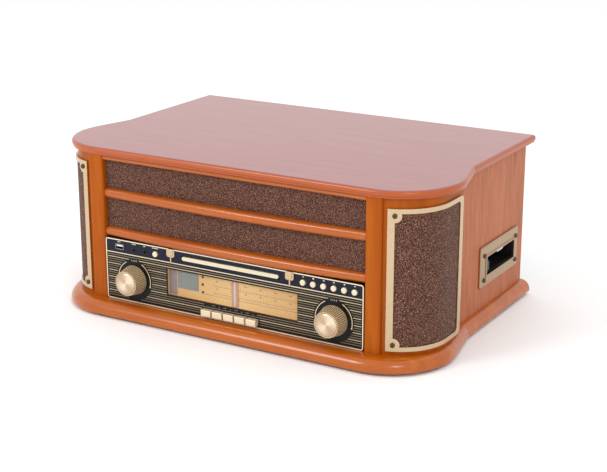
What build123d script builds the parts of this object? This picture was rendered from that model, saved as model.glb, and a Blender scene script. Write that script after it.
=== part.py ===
# Wooden record player with radio dial, disc drawer and side cassette slot.
# Millimetres. +X is the object's right, +Y its back, +Z up, origin under the middle of the cabinet.
from build123d import *
import math
import os

os.makedirs("parts", exist_ok=True)

# Heights
foot_height = 3.0
base_height = 15.5
body_height = 184.2
lid_gap = 0.3
lid_thickness = 9.0
base_bottom = foot_height
base_top = base_bottom + base_height
body_top = base_top + body_height
lid_bottom = body_top + lid_gap
lid_top = lid_bottom + lid_thickness

# Plan of the lid and the plinth
back_y = 177.0
lid_front_y = -158.0
lid_side_x = 250.0
lid_widest_x = 266.0
lid_corner_r = 77.0
lid_flare_y = -11.0
lid_edge_r = 4.0
lid_under_edge_r = 1.5
lid_lip = 2.2
lid_lip_inset = 1.4
front_y = -177.0
base_side_x = 252.0
base_widest_x = 266.0
base_corner_r = 82.0
base_flare_y = -17.0
base_edge_r = 12.5
base_foot_edge_r = 2.0
base_back_set = 1.0

# Plan of the body: flat sides and a round corner pod each side of the front
wall = 9.0
clearance = 0.3
running_gap = 0.05
body_side_x = 240.0
body_back_y = 171.0
pod_x = 194.0
pod_y = -91.0
pod_r = 60.0
pod_back_y = -54.0
inner_side_x = body_side_x - wall

# Front of the cabinet
post_inner_x = 182.5
post_width = 20.5
post_front_y = -155.0
post_depth = 13.0
post_edge_r = 3.0
post_outer_x = post_inner_x + post_width
post_back_y = post_front_y + post_depth
panel_set_back = 1.0
panel_front_y = post_front_y + panel_set_back
panel_thickness = 2.5
panel_back_y = panel_front_y + panel_thickness
panel_half_width = post_inner_x - clearance
panel_bottom = base_top + 0.2
panel_top = 98.4
panel_corner_r = 3.0
cloth_set_back = 9.0
rail_back_y = post_front_y + cloth_set_back
rail_end_y = post_front_y + 3.0
rail_bow = 6.5
rail_round = 5.4
lower_rail_height = 11.8
middle_rail_z = 154.0
middle_rail_height = 12.0
top_rail_height = 6.0
top_rail_front_y = post_front_y + 1.4
top_rail_round = 2.0
cloth_board = 2.4
cloth_back_y = rail_back_y + cloth_board

# Rear panel and deck
rear_panel_thickness = 4.0
rear_panel_top = lid_bottom - 1.6
rear_panel_y = body_back_y - rear_panel_thickness
deck_top = 160.0
deck_thickness = 8.0
deck_front_y = -138.0
deck_bottom = deck_top - deck_thickness

# Turntable
platter_x = -55.0
platter_y = 15.0
platter_r = 140.0
platter_lift = 2.5
platter_skirt_height = 7.5
platter_disc = 6.0
platter_skirt = 8.0
platter_edge_r = 2.0
belt_rim_r = 90.0
belt_rim_wall = 4.0
spindle_r = 3.55
spindle_above_mat = 12.0
spindle_collar_r = 4.5
mat_thickness = 1.5
mat_r = 138.0
record_thickness = 1.7
bearing_r = 9.0
pulley_r = 6.0
pulley_distance = 112.0
pulley_angle = 250.0
belt_thickness = 0.8
belt_height = 4.0
belt_gap = 0.25
motor_r = 16.0
motor_height = 26.0
motor_shaft_r = 1.1
skirt_low = deck_top + platter_lift
disc_low = skirt_low + platter_skirt_height
platter_top = disc_low + platter_disc
mat_top = platter_top + mat_thickness

# Tonearm
arm_x = 130.0
arm_y = 89.5
arm_length = 212.0
arm_tube_r = 3.5
arm_post_r = 15.0
arm_post_height = 8.0
arm_column_r = 8.0
arm_column_height = 8.0
arm_axis_above_column = 10.0
arm_pin_r = 2.5
yoke_width = 22.0
yoke_cheek = 3.0
axle_r = 1.2
counterweight_r = 11.0
counterweight_length = 22.0
rest_distance = 100.0
column_top = deck_top + arm_post_height + arm_column_height
arm_axis_z = column_top + arm_axis_above_column

# Speed lever beside the platter
lever_x = 180.0
lever_y = -60.0
lever_width = 5.0
lever_length = 8.0
lever_travel = 10.0

# Knobs and buttons on the control panel
knob_left_x = -139.3
knob_right_x = 143.3
knob_z = 49.0
knob_r = 18.75
knob_face_r = 15.5
knob_height = 18.5
knob_gap = 1.0
knob_shaft_r = 3.0
shaft_hole_r = 3.5
flute_count = 48
flute_r = 0.8
strip_z = 87.8
button_r = 3.7
button_stand_out = 2.6
button_travel = 1.2
button_stem_r = 1.5
button_count = 6
button_pitch = 13.55
first_button_x = 102.75
record_button_x = -106.0
key_count = 5
key_pitch = 16.0
key_width = 13.8
key_height = 7.8
key_z = 26.7
key_middle_x = 2.1
key_stand_out = 6.7
key_travel = 2.5
hole_clearance = 0.4

# Disc drawer
tray_x = 2.0
tray_z = 89.0
tray_width = 136.0
tray_height = 4.8
tray_length = 136.0
tray_stand_out = 1.5
tray_slot_gap = 1.0
disc_recess_r = 60.5
mech_wall = 2.0
mech_side_gap = 3.0
mech_floor_gap = 1.5
mech_height = 22.0
mech_floor_z = tray_z - tray_height / 2 - mech_floor_gap - mech_wall

# Dial
dial_left = -90.0
dial_right = 95.0
dial_low = 38.5
dial_high = 72.0
window_thickness = 1.6
scale_set_back = 2.4
scale_thickness = 1.5
pointer_x = 6.5
pointer_width = 8.6
pointer_thickness = 0.8
lcd_left = -77.0
lcd_right = -47.0
lcd_low = 48.6
lcd_high = 71.0
board_set_back = 12.1
board_y = panel_back_y + board_set_back
board_thickness = 1.6

# Sockets
usb_x = -160.8
usb_z = 88.5
usb_width = 13.1
usb_height = 7.0
usb_opening_width = 11.9
usb_opening_height = 4.6
usb_depth = 10.0
jack_xs = (-138.3, -122.5)
jack_z = 87.4
jack_r = 1.8
jack_body_r = 3.0
jack_depth = 9.0

# Speaker grilles
grille_low = 23.5
grille_high = 191.0
grille_start = 13.5
grille_rear_gap = 2.0
grille_thickness = 2.5
grille_side_border = 8.0
grille_edge_border = 5.5
grille_corner_r = 5.0
lobe_r = 8.0
screw_from_side = 8.0
screw_from_edge = 8.0
screw_head_r = 3.0
screw_head = 1.6
screw_shank_r = 1.3
screw_length = 6.0
cloth_thickness = 1.0
speaker_angle = 60.0
speaker_z = 107.0
speaker_r = 38.0
speaker_hole_r = 33.0

# Cassette slot on the right side
bezel_front = 33.0
bezel_back = 149.0
bezel_low = 47.0
bezel_high = 99.0
bezel_thickness = 3.0
bezel_rim = 2.5
slot_front = 51.0
slot_back = 136.0
slot_low = 60.5
slot_high = 84.0
cassette_depth = 112.0
bay_front = 66.5
guide_bar_r = 1.3
eject_travel = 3.0

# Lid hinges
hinge_xs = (-150.0, 150.0)
hinge_width = 40.0
hinge_leaf = 1.2
knuckle_r = 2.1
pin_r = 0.95
pin_hole_r = pin_r + running_gap
hinge_axis_y = body_back_y + hinge_leaf + 1.3
hinge_axis_z = lid_bottom - knuckle_r - 0.4

# Feet
foot_r = 8.0
foot_front = (205.0, -118.0)
foot_rear = (215.0, 140.0)


def tangent_point(side, flare_y, centre_x, centre_y, radius):
    """Where the flare line from (side, flare_y) meets the corner arc."""
    dx = centre_x - side
    dy = centre_y - flare_y
    distance = math.hypot(dx, dy)
    angle = math.atan2(dy, dx) + math.asin(radius / distance)
    length = math.sqrt(distance ** 2 - radius ** 2)
    return (side + length * math.cos(angle), flare_y + length * math.sin(angle))


def plan(side, flare_y, centre_x, centre_y, radius, back):
    """Cabinet outline: straight sides, a flare and a large round front corner each side."""
    touch = tangent_point(side, flare_y, centre_x, centre_y, radius)
    middle_angle = math.atan2(touch[1] - centre_y, touch[0] - centre_x) / 2 - math.pi / 4
    middle = (centre_x + radius * math.cos(middle_angle), centre_y + radius * math.sin(middle_angle))
    front = (centre_x, centre_y - radius)
    edges = [
        Line((-side, back), (side, back)),
        Line((side, back), (side, flare_y)),
        Line((side, flare_y), touch),
        ThreePointArc(touch, middle, front),
        Line(front, (-front[0], front[1])),
        ThreePointArc((-front[0], front[1]), (-middle[0], middle[1]), (-touch[0], touch[1])),
        Line((-touch[0], touch[1]), (-side, flare_y)),
        Line((-side, flare_y), (-side, back)),
    ]
    return make_face(edges)


def pod_plan(grow, back):
    """Outline of the front with its round corners, grown outwards by a distance."""
    radius = pod_r + grow
    slant = radius * math.sqrt(0.5)
    side = pod_x + radius
    front = pod_y - radius
    return make_face([
        Line((-pod_x, front), (pod_x, front)),
        ThreePointArc((pod_x, front), (pod_x + slant, pod_y - slant), (side, pod_y)),
        Line((side, pod_y), (side, back)),
        Line((side, back), (-side, back)),
        Line((-side, back), (-side, pod_y)),
        ThreePointArc((-side, pod_y), (-pod_x - slant, pod_y - slant), (-pod_x, front)),
    ])


def prism(face, low, high):
    return Pos(0, 0, low) * extrude(face, high - low)


def block(x0, x1, y0, y1, z0, z1):
    return Pos((x0 + x1) / 2, (y0 + y1) / 2, (z0 + z1) / 2) * Box(x1 - x0, y1 - y0, z1 - z0)


def rod_z(x, y, z0, z1, radius):
    return Pos(x, y, (z0 + z1) / 2) * Cylinder(radius, z1 - z0)


def rod_y(x, z, y0, y1, radius):
    return Pos(x, (y0 + y1) / 2, z) * Rot(90, 0, 0) * Cylinder(radius, y1 - y0)


def rod_x(y, z, x0, x1, radius):
    return Pos((x0 + x1) / 2, y, z) * Rot(0, 90, 0) * Cylinder(radius, x1 - x0)


def rounded_slab(x0, x1, z0, z1, y0, y1, radius):
    """Upright slab facing -Y with rounded corners."""
    slab = block(x0, x1, y0, y1, z0, z1)
    return fillet(slab.edges().filter_by(Axis.Y), radius)


def mirrored(shape):
    return mirror(shape, about=Plane.YZ)


def save(name, shapes):
    shapes = shapes if isinstance(shapes, list) else [shapes]
    solids = [solid for shape in shapes for solid in shape.solids()]
    export_step(Compound(children=solids) if len(solids) > 1 else solids[0], "parts/" + name + ".step")


# Plinth with its rounded edge, and the feet under it
base_corner_x = base_widest_x - base_corner_r
base_corner_y = front_y + base_corner_r
base_face = plan(
    base_side_x, base_flare_y, base_corner_x, base_corner_y, base_corner_r, back_y - base_back_set
)
plinth = prism(base_face, base_bottom, base_top)
plinth_edges = plinth.edges().group_by(Axis.Z)[-1].filter_by(lambda e: e.center().Y < back_y - 2.0)
plinth = fillet(plinth_edges, base_edge_r)
lower_edges = plinth.edges().group_by(Axis.Z)[0].filter_by(lambda e: e.center().Y < back_y - 2.0)
plinth = fillet(lower_edges, base_foot_edge_r)
save("base_plinth", plinth)

feet = []
for x, y in (foot_front, foot_rear):
    foot = Pos(0, 0, foot_height / 2) * Cone(foot_r - 1.5, foot_r, foot_height)
    feet += [Pos(x, y, 0) * foot, Pos(-x, y, 0) * foot]
save("rubber_feet", feet)

# Side panels and the round corner walls
right_side = block(inner_side_x, body_side_x, pod_back_y, body_back_y, base_top, body_top)
left_side = mirrored(right_side)
slot_margin = 2.0
right_side -= block(
    inner_side_x - 1, body_side_x + 1, slot_front - slot_margin, slot_back + slot_margin,
    slot_low - slot_margin, slot_high + slot_margin,
)
save("side_panel_right", right_side)
save("side_panel_left", left_side)

corner_shell = prism(pod_plan(0, pod_back_y), base_top, body_top)
corner_shell -= prism(pod_plan(-wall, pod_back_y - wall), base_top - 1, body_top + 1)
corner_wall = corner_shell & block(post_outer_x, 300, -300, 300, 0, 300)
corner_wall -= block(0, inner_side_x, pod_back_y - wall - 1, pod_back_y + 1, 0, 300)
speaker_turn = math.radians(speaker_angle)
speaker_plane = Plane(
    origin=(pod_x, pod_y, speaker_z),
    z_dir=(math.sin(speaker_turn), -math.cos(speaker_turn), 0),
)
corner_wall -= speaker_plane * Pos(0, 0, pod_r) * Cylinder(speaker_hole_r, 60)
save("corner_walls", [corner_wall, mirrored(corner_wall)])

# Front posts and rails
post = block(post_inner_x, post_outer_x, post_front_y, post_back_y, base_top, body_top)
post = fillet(post.edges().filter_by(Axis.Z).filter_by(lambda e: e.center().Y < post_front_y + 1), post_edge_r)
save("front_posts", [post, mirrored(post)])


def bowed_rail(z0, z1):
    """Rail whose front bulges forward between the posts, with rounded front edges."""
    rail_half = post_inner_x
    face = make_face([
        ThreePointArc((-rail_half, rail_end_y), (0, rail_end_y - rail_bow), (rail_half, rail_end_y)),
        Line((rail_half, rail_end_y), (rail_half, rail_back_y)),
        Line((rail_half, rail_back_y), (-rail_half, rail_back_y)),
        Line((-rail_half, rail_back_y), (-rail_half, rail_end_y)),
    ])
    rail = prism(face, z0, z1)
    front_edges = rail.edges().filter_by(GeomType.CIRCLE).filter_by(lambda e: e.center().Y < rail_end_y)
    return fillet(front_edges, rail_round)


lower_rail_z = panel_top + clearance
save("lower_rail", bowed_rail(lower_rail_z, lower_rail_z + lower_rail_height))
save("middle_rail", bowed_rail(middle_rail_z - middle_rail_height / 2, middle_rail_z + middle_rail_height / 2))
top_rail = block(-post_inner_x, post_inner_x, top_rail_front_y, rail_back_y, body_top - top_rail_height, body_top)
top_rail = fillet(top_rail.edges().filter_by(Axis.X).group_by(Axis.Y)[0], top_rail_round)
save("top_rail", top_rail)
save("front_cloth_panel", block(
    -post_inner_x + clearance, post_inner_x - clearance,
    rail_back_y, cloth_back_y, lower_rail_z, body_top,
))

# Control panel with its cut-outs
panel = rounded_slab(
    -panel_half_width, panel_half_width, panel_bottom, panel_top, panel_front_y, panel_back_y, panel_corner_r
)
cut_y0 = panel_front_y - 1
cut_y1 = panel_back_y + 1
for x in (knob_left_x, knob_right_x):
    panel -= rod_y(x, knob_z, cut_y0, cut_y1, shaft_hole_r)
button_xs = [first_button_x + i * button_pitch for i in range(button_count)]
for x in button_xs + [record_button_x]:
    panel -= rod_y(x, strip_z, cut_y0, cut_y1, button_r + hole_clearance)
key_xs = [key_middle_x + (i - (key_count - 1) / 2) * key_pitch for i in range(key_count)]
key_slot_half = key_count * key_pitch / 2 - (key_pitch - key_width) / 2 + hole_clearance
panel -= block(
    key_middle_x - key_slot_half, key_middle_x + key_slot_half, cut_y0, cut_y1,
    key_z - key_height / 2 - hole_clearance, key_z + key_height / 2 + hole_clearance,
)
panel -= block(
    tray_x - tray_width / 2 - tray_slot_gap, tray_x + tray_width / 2 + tray_slot_gap, cut_y0, cut_y1,
    tray_z - tray_height / 2 - tray_slot_gap, tray_z + tray_height / 2 + tray_slot_gap,
)
panel -= block(dial_left, dial_right, cut_y0, cut_y1, dial_low, dial_high)
panel -= block(
    usb_x - usb_width / 2 - clearance, usb_x + usb_width / 2 + clearance, cut_y0, cut_y1,
    usb_z - usb_height / 2 - clearance, usb_z + usb_height / 2 + clearance,
)
for x in jack_xs:
    panel -= rod_y(x, jack_z, cut_y0, cut_y1, jack_body_r + clearance)
save("control_panel", panel)

# Dial: clear window, printed scale behind it, display and moving pointer between them
window = block(
    dial_left + 0.2, dial_right - 0.2, panel_front_y, panel_front_y + window_thickness,
    dial_low + 0.2, dial_high - 0.2,
)
save("dial_window", window)
scale_front = panel_back_y + scale_set_back
scale_back = scale_front + scale_thickness
scale = block(dial_left - 2, dial_right + 2, scale_front, scale_back, dial_low - 2, dial_high + 2)
lcd_hole = block(
    lcd_left - 0.2, lcd_right + 0.2, scale_front - 1, scale_front + 3, lcd_low - 0.2, lcd_high + 0.2
)
frame_back = scale_front
scale_rim = block(dial_left - 2, dial_right + 2, panel_back_y, frame_back, dial_low - 2, dial_high + 2)
scale_rim -= block(dial_left, dial_right, panel_back_y - 1, frame_back + 1, dial_low, dial_high)
save("dial_scale", (scale + scale_rim) - lcd_hole)
save("lcd_display", block(lcd_left, lcd_right, scale_front - 0.6, board_y, lcd_low, lcd_high))
pointer = block(
    pointer_x - pointer_width / 2, pointer_x + pointer_width / 2,
    scale_front - clearance - 0.6 - pointer_thickness, scale_front - clearance - 0.6,
    dial_low + 0.5, dial_high - 0.5,
)
save("dial_pointer", pointer)


def knob(x):
    """Turned knob with a fluted side, a stepped face and its shaft."""
    length = knob_height - knob_gap
    middle = (knob_height + knob_gap) / 2
    lean = math.degrees(math.atan((knob_r - knob_face_r) / length))
    body = Pos(0, 0, middle) * Cone(knob_r, knob_face_r, length)
    flute = Pos((knob_r + knob_face_r) / 2 + flute_r / 3, 0, middle) * Rot(0, -lean, 0) * Cylinder(flute_r, length - 3)
    for i in range(flute_count):
        body -= Rot(0, 0, 360 / flute_count * i) * flute
    body -= Pos(0, 0, knob_height) * (Cylinder(knob_face_r - 1.2, 0.8) - Cylinder(knob_face_r - 2.0, 2))
    shaft_end = board_y + board_thickness + 1.4 - panel_front_y
    shaft = Pos(0, 0, (knob_gap + 1 - shaft_end) / 2) * Cylinder(knob_shaft_r, shaft_end + knob_gap + 1)
    return Pos(x, panel_front_y, knob_z) * Rot(90, 0, 0) * (body + shaft)


save("volume_knob", knob(knob_left_x))
save("tuning_knob", knob(knob_right_x))


switch_height = 0.6


def round_button(x):
    """Domed button with a guide stem behind it."""
    front = panel_front_y - button_stand_out
    cap = rod_y(x, strip_z, front, panel_back_y + 2, button_r)
    cap = fillet(cap.edges().group_by(Axis.Y)[0], 1.4)
    return cap + rod_y(x, strip_z, panel_back_y + 1.9, board_y - switch_height - button_travel - 0.2, button_stem_r)


for i, x in enumerate(button_xs):
    save(f"track_button_{i + 1}", round_button(x))
save("record_button", round_button(record_button_x))


def piano_key(x):
    """Square key cap with rounded front edges and a flat stem."""
    low = key_z - key_height / 2
    high = key_z + key_height / 2
    cap = block(x - key_width / 2, x + key_width / 2, panel_front_y - key_stand_out, panel_back_y + 3, low, high)
    cap = fillet(cap.edges().group_by(Axis.Y)[0], 0.8)
    stem_end = board_y - switch_height - key_travel - 0.1
    stem = block(x - 3, x + 3, panel_back_y + 2.9, stem_end, key_z - 1.5, key_z + 1.5)
    return cap + stem


for i, x in enumerate(key_xs):
    save(f"mode_key_{i + 1}", piano_key(x))

# Circuit board behind the panel, with the two turning controls and switches on it
board = block(-172, 172, board_y, board_y + board_thickness, 22, 94)
board -= block(tray_x - 76, tray_x + 76, board_y - 1, board_y + 3, 79, 100)
for x in (knob_left_x, knob_right_x):
    board += block(x - 9, x + 9, board_y + board_thickness, board_y + 10, knob_z - 9, knob_z + 9)
    board -= rod_y(x, knob_z, board_y - 1, board_y + 5, knob_shaft_r + running_gap)
for x in (-168, 168):
    for z in (26, 72):
        board += rod_y(x, z, panel_back_y, board_y, 2.5)
for x in button_xs + [record_button_x]:
    board += block(x - 2.5, x + 2.5, board_y - switch_height, board_y, strip_z - 2.5, strip_z + 2.5)
for x in key_xs:
    board += block(x - 3, x + 3, board_y - switch_height, board_y, key_z - 3, key_z + 3)
save("front_circuit_board", board)

# Panel sockets: a flat data socket and two round jacks, seated in the panel
usb = block(
    usb_x - usb_width / 2, usb_x + usb_width / 2, panel_front_y, board_y,
    usb_z - usb_height / 2, usb_z + usb_height / 2,
)
usb -= block(
    usb_x - usb_opening_width / 2, usb_x + usb_opening_width / 2, panel_front_y - 1, panel_front_y + usb_depth,
    usb_z - usb_opening_height / 2, usb_z + usb_opening_height / 2,
)
sockets = [usb]
for x in jack_xs:
    jack = rod_y(x, jack_z, panel_front_y, board_y, jack_body_r)
    jack -= rod_y(x, jack_z, panel_front_y - 1, panel_front_y + jack_depth, jack_r)
    sockets.append(jack)
save("panel_sockets", sockets)


def ornament(x):
    """Small shield on a stem, standing on the strip's lower line."""
    shield = rounded_slab(x - 5.8, x + 5.8, panel_top - 10.6, panel_top - 0.4, panel_front_y - 1.4, panel_front_y, 3.0)
    inner = rounded_slab(x - 3.6, x + 3.6, panel_top - 8.8, panel_top - 1.6, panel_front_y - 2.2, panel_front_y - 1.4, 2.4)
    stem = block(x - 0.9, x + 0.9, panel_front_y - 1.0, panel_front_y, panel_top - 17.6, panel_top - 10.5)
    return shield + inner + stem


save("panel_ornaments", [ornament(-83.0), ornament(85.0)])

# Disc drawer and its mechanism
tray_front_y = panel_front_y - tray_stand_out
tray_bar = block(
    tray_x - tray_width / 2, tray_x + tray_width / 2, tray_front_y, panel_back_y + 1,
    tray_z - tray_height / 2, tray_z + tray_height / 2,
)
tray_bar = fillet(tray_bar.edges().filter_by(Axis.Y), tray_height / 2 - 0.3)
tray_plate = block(
    tray_x - tray_width / 2 + 2, tray_x + tray_width / 2 - 2, panel_back_y, tray_front_y + tray_length,
    tray_z - tray_height / 2, tray_z + 1.0,
)
disc_y = tray_front_y + tray_length / 2 + 3
tray_plate -= rod_z(tray_x, disc_y, tray_z - 1.2, tray_z + 2, disc_recess_r)
tray_plate -= block(tray_x - 10, tray_x + 10, disc_y - 12, disc_y + 50, tray_z - 10, tray_z + 10)
save("cd_tray", tray_bar + tray_plate)

mech_x0 = tray_x - tray_width / 2 - mech_side_gap
mech_x1 = tray_x + tray_width / 2 + mech_side_gap
mech_y0 = panel_back_y
mech_y1 = tray_front_y + tray_length + 8
mechanism = block(mech_x0, mech_x1, mech_y0, mech_y1, mech_floor_z, mech_floor_z + mech_height)
mechanism -= block(
    mech_x0 + mech_wall, mech_x1 - mech_wall, mech_y0 - 1, mech_y1 - mech_wall,
    mech_floor_z + mech_wall, mech_floor_z + mech_height - mech_wall,
)
mechanism -= block(-300, 300, mech_y0 - 1, cloth_back_y + 0.4, panel_top - clearance, 200)
for x in (mech_x0 + mech_wall, mech_x1 - mech_wall - 1.0):
    mechanism += block(
        x - 0.5, x + 1.5, mech_y0, mech_y1 - mech_wall, mech_floor_z + 1, tray_z - tray_height / 2 - 0.3
    )
for x in (mech_x0 + 6, mech_x1 - 6):
    for y in (board_y + 16, mech_y1 - 6):
        mechanism += block(x - 5, x + 5, y - 5, y + 5, base_top, mech_floor_z + 0.5)
save("cd_mechanism", mechanism)


def degrees_along(distance):
    """Turn round the corner that covers a distance on its surface."""
    return math.degrees(distance / pod_r)


def corner_band(inner_grow, outer_grow, start, rear, low, high):
    """Skin on the right corner from an angle past the front to a straight rear edge."""
    band = prism(pod_plan(outer_grow, rear), low, high) - prism(pod_plan(inner_grow, rear + 1), low - 1, high + 1)
    reach = 400.0
    turn = math.radians(start)
    ray_end = (pod_x + reach * math.sin(turn), pod_y - reach * math.cos(turn))
    off = Polyline((pod_x, pod_y), ray_end, (-reach, -reach), (-reach, reach), (pod_x, reach), (pod_x, pod_y))
    return band - prism(make_face(off), low - 2, high + 2)


def on_corner(grow, degrees, z):
    """Plane on the corner's surface, facing outwards."""
    turn = math.radians(degrees)
    direction = (math.sin(turn), -math.cos(turn), 0)
    origin = (pod_x + (pod_r + grow) * direction[0], pod_y + (pod_r + grow) * direction[1], z)
    return Plane(origin=origin, z_dir=direction, x_dir=(math.cos(turn), math.sin(turn), 0))


# Speaker grilles: a frame over cloth, screwed at its two front corners
grille_rear_y = pod_back_y - grille_rear_gap
frame_plate = corner_band(clearance, clearance + grille_thickness, grille_start, grille_rear_y, grille_low, grille_high)
rear_corners = frame_plate.edges().filter_by(Axis.X).group_by(Axis.Y)[-1]
frame_plate = fillet(rear_corners, grille_corner_r)
opening_start = grille_start + degrees_along(grille_side_border)
opening = corner_band(
    clearance - 5, clearance + grille_thickness + 5, opening_start, grille_rear_y - grille_side_border,
    grille_low + grille_edge_border, grille_high - grille_edge_border,
)
opening = fillet(opening.edges().filter_by(Axis.X).group_by(Axis.Y)[-1], grille_corner_r)
cloth = corner_band(
    clearance, clearance + cloth_thickness, opening_start + degrees_along(clearance),
    grille_rear_y - grille_side_border - clearance,
    grille_low + grille_edge_border + clearance, grille_high - grille_edge_border - clearance,
)
cloth = fillet(cloth.edges().filter_by(Axis.X).group_by(Axis.Y)[-1], grille_corner_r)
screw_turn = grille_start + degrees_along(screw_from_side)
screw_zs = (grille_low + screw_from_edge, grille_high - screw_from_edge)
for z in screw_zs:
    opening -= on_corner(0, screw_turn, z) * Cylinder(lobe_r, 30)
    cloth -= on_corner(0, screw_turn, z) * Cylinder(lobe_r + clearance, 30)
grille_frame = frame_plate - opening
for z in screw_zs:
    grille_frame -= on_corner(0, screw_turn, z) * Cylinder(screw_shank_r + running_gap, 30)
save("grille_frames", [grille_frame, mirrored(grille_frame)])
save("grille_cloths", [cloth, mirrored(cloth)])


def pan_screw():
    """Cross-head screw along +Z, its head's seat at z = 0."""
    head = Pos(0, 0, screw_head / 2) * Cylinder(screw_head_r, screw_head)
    head = fillet(head.edges().group_by(Axis.Z)[-1], 0.9)
    cross = Box(3.4, 0.8, 1.6) + Box(0.8, 3.4, 1.6)
    shank = Pos(0, 0, 0.1 - grille_thickness / 2) * Cylinder(screw_shank_r, grille_thickness)
    return head - Pos(0, 0, screw_head) * cross + shank


corner_screws = [on_corner(clearance + grille_thickness + 0.1, screw_turn, z) * pan_screw() for z in screw_zs]
bezel_face_x = body_side_x + bezel_thickness
bezel_screw_places = [
    (y, z)
    for y in (slot_front - bezel_rim - screw_head_r - 1.0, slot_back + bezel_rim + screw_head_r + 1.0)
    for z in (bezel_low + 8.5, bezel_high - 12.2)
]
bezel_screws = [Plane(origin=(bezel_face_x, y, z), z_dir=(1, 0, 0)) * pan_screw() for y, z in bezel_screw_places]
save("trim_screws", corner_screws + [mirrored(s) for s in corner_screws] + bezel_screws)

# Loudspeakers inside the corners
seat = math.sqrt((pod_r - wall) ** 2 - speaker_r ** 2) - clearance
flange = Pos(0, 0, seat - 1.5) * Cylinder(speaker_r, 3)
basket = Pos(0, 0, seat - 3 - 9) * Cone(16, speaker_r - 4, 18)
magnet = Pos(0, 0, seat - 21 - 6) * Cylinder(22, 12)
cone_hollow = Pos(0, 0, seat - 7) * Cone(10, speaker_r - 8, 14.2)
driver = speaker_plane * ((flange + basket + magnet) - cone_hollow)
save("speaker_drivers", [driver, mirrored(driver)])

# Cassette bezel, mechanism, guide bar and eject button
bezel = block(body_side_x, bezel_face_x, bezel_front, bezel_back, bezel_low, bezel_high)
bezel = fillet(bezel.edges().filter_by(Axis.X), 2.0)
bezel = chamfer(bezel.faces().sort_by(Axis.X)[-1].edges(), 1.0)
bezel += block(
    bezel_face_x - 0.5, bezel_face_x + 0.8, slot_front - bezel_rim, slot_back + bezel_rim,
    slot_low - bezel_rim, slot_high + bezel_rim,
)
bezel -= block(body_side_x - 1, bezel_face_x + 5, slot_front, slot_back, slot_low, slot_high)
for y, z in bezel_screw_places:
    bezel -= rod_x(y, z, body_side_x - 1, bezel_face_x + 1, screw_shank_r + running_gap)
save("cassette_bezel", bezel)

deck_x1 = body_side_x - clearance
deck_x0 = deck_x1 - cassette_depth
case_wall = 2.0
cassette = block(
    deck_x0, deck_x1, slot_front - slot_margin + clearance, slot_back + slot_margin - clearance,
    slot_low - slot_margin + clearance, slot_high + slot_margin - clearance,
)
bay_low = slot_low + 0.5
bay_high = slot_high - 0.5
bay_back = slot_back - 0.5
cassette -= block(deck_x0 + case_wall, deck_x1 + 1, slot_front + 0.5, bay_back, bay_low, bay_high)
cassette += block(deck_x0 + 1, deck_x1 - 9, slot_front, bay_front - 3.5, slot_low, slot_high)
for y in (slot_front + 8, slot_back - 8):
    for x in (deck_x0 + 8, inner_side_x - 10):
        cassette += block(x - 4, x + 4, y - 4, y + 4, base_top, slot_low - 1)
save("cassette_mechanism", cassette)

guide_x = body_side_x - 5.0
save("cassette_guide_bar", rod_y(guide_x, slot_high - 4.5, slot_front + 0.5, bay_back, guide_bar_r))
eject_x1 = body_side_x + 1.5
eject = block(deck_x1 - 5.0, eject_x1, slot_front + 1.2, bay_front - 4.2, slot_low + 3.5, slot_high - 7.5)
eject = fillet(eject.edges().filter_by(Axis.X), 1.5)
save("cassette_eject_button", eject)

# Rear panel with vents, an inlet and output sockets
rear = block(
    -inner_side_x + clearance, inner_side_x - clearance, rear_panel_y, body_back_y, base_top + 0.1, rear_panel_top
)
for column in range(14):
    x = -90 + column * 9
    rear -= Pos(x, rear_panel_y, 110) * Box(3, 30, 36)
inlet_x = -150.0
inlet_z = 48.0
rear -= block(inlet_x - 12, inlet_x + 12, rear_panel_y - 1, body_back_y + 1, inlet_z - 9, inlet_z + 9)
socket_xs = (108.0, 126.0)
socket_z = 48.0
for x in socket_xs:
    rear -= rod_y(x, socket_z, rear_panel_y - 1, body_back_y + 1, 5.2)
save("rear_panel", rear)
inlet = block(inlet_x - 11.7, inlet_x + 11.7, rear_panel_y - 16, body_back_y + 1.0, inlet_z - 8.7, inlet_z + 8.7)
inlet -= block(inlet_x - 8, inlet_x + 8, body_back_y - 11, body_back_y + 2, inlet_z - 4.6, inlet_z + 4.6)
for x in (inlet_x - 4, inlet_x + 4):
    inlet += rod_y(x, inlet_z, body_back_y - 11.5, body_back_y - 2, 1.2)
outputs = []
for x in socket_xs:
    stage = rod_y(x, socket_z, rear_panel_y - 6, body_back_y + 0.8, 5.0)
    stage += rod_y(x, socket_z, body_back_y + 0.7, body_back_y + 5.5, 4.2)
    outputs.append(stage - rod_y(x, socket_z, body_back_y - 2, body_back_y + 8, 1.7))
save("rear_sockets", [inlet] + outputs)

# Power transformer standing on the plinth
transformer = block(-180, -120, 60, 104, base_top, base_top + 46)
transformer += block(-172, -128, 50, 114, base_top + 4, base_top + 42)
for x in (-188, -112):
    transformer += block(x - 8.5, x + 8.5, 66, 98, base_top, base_top + 2.5)
save("power_transformer", transformer)

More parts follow.
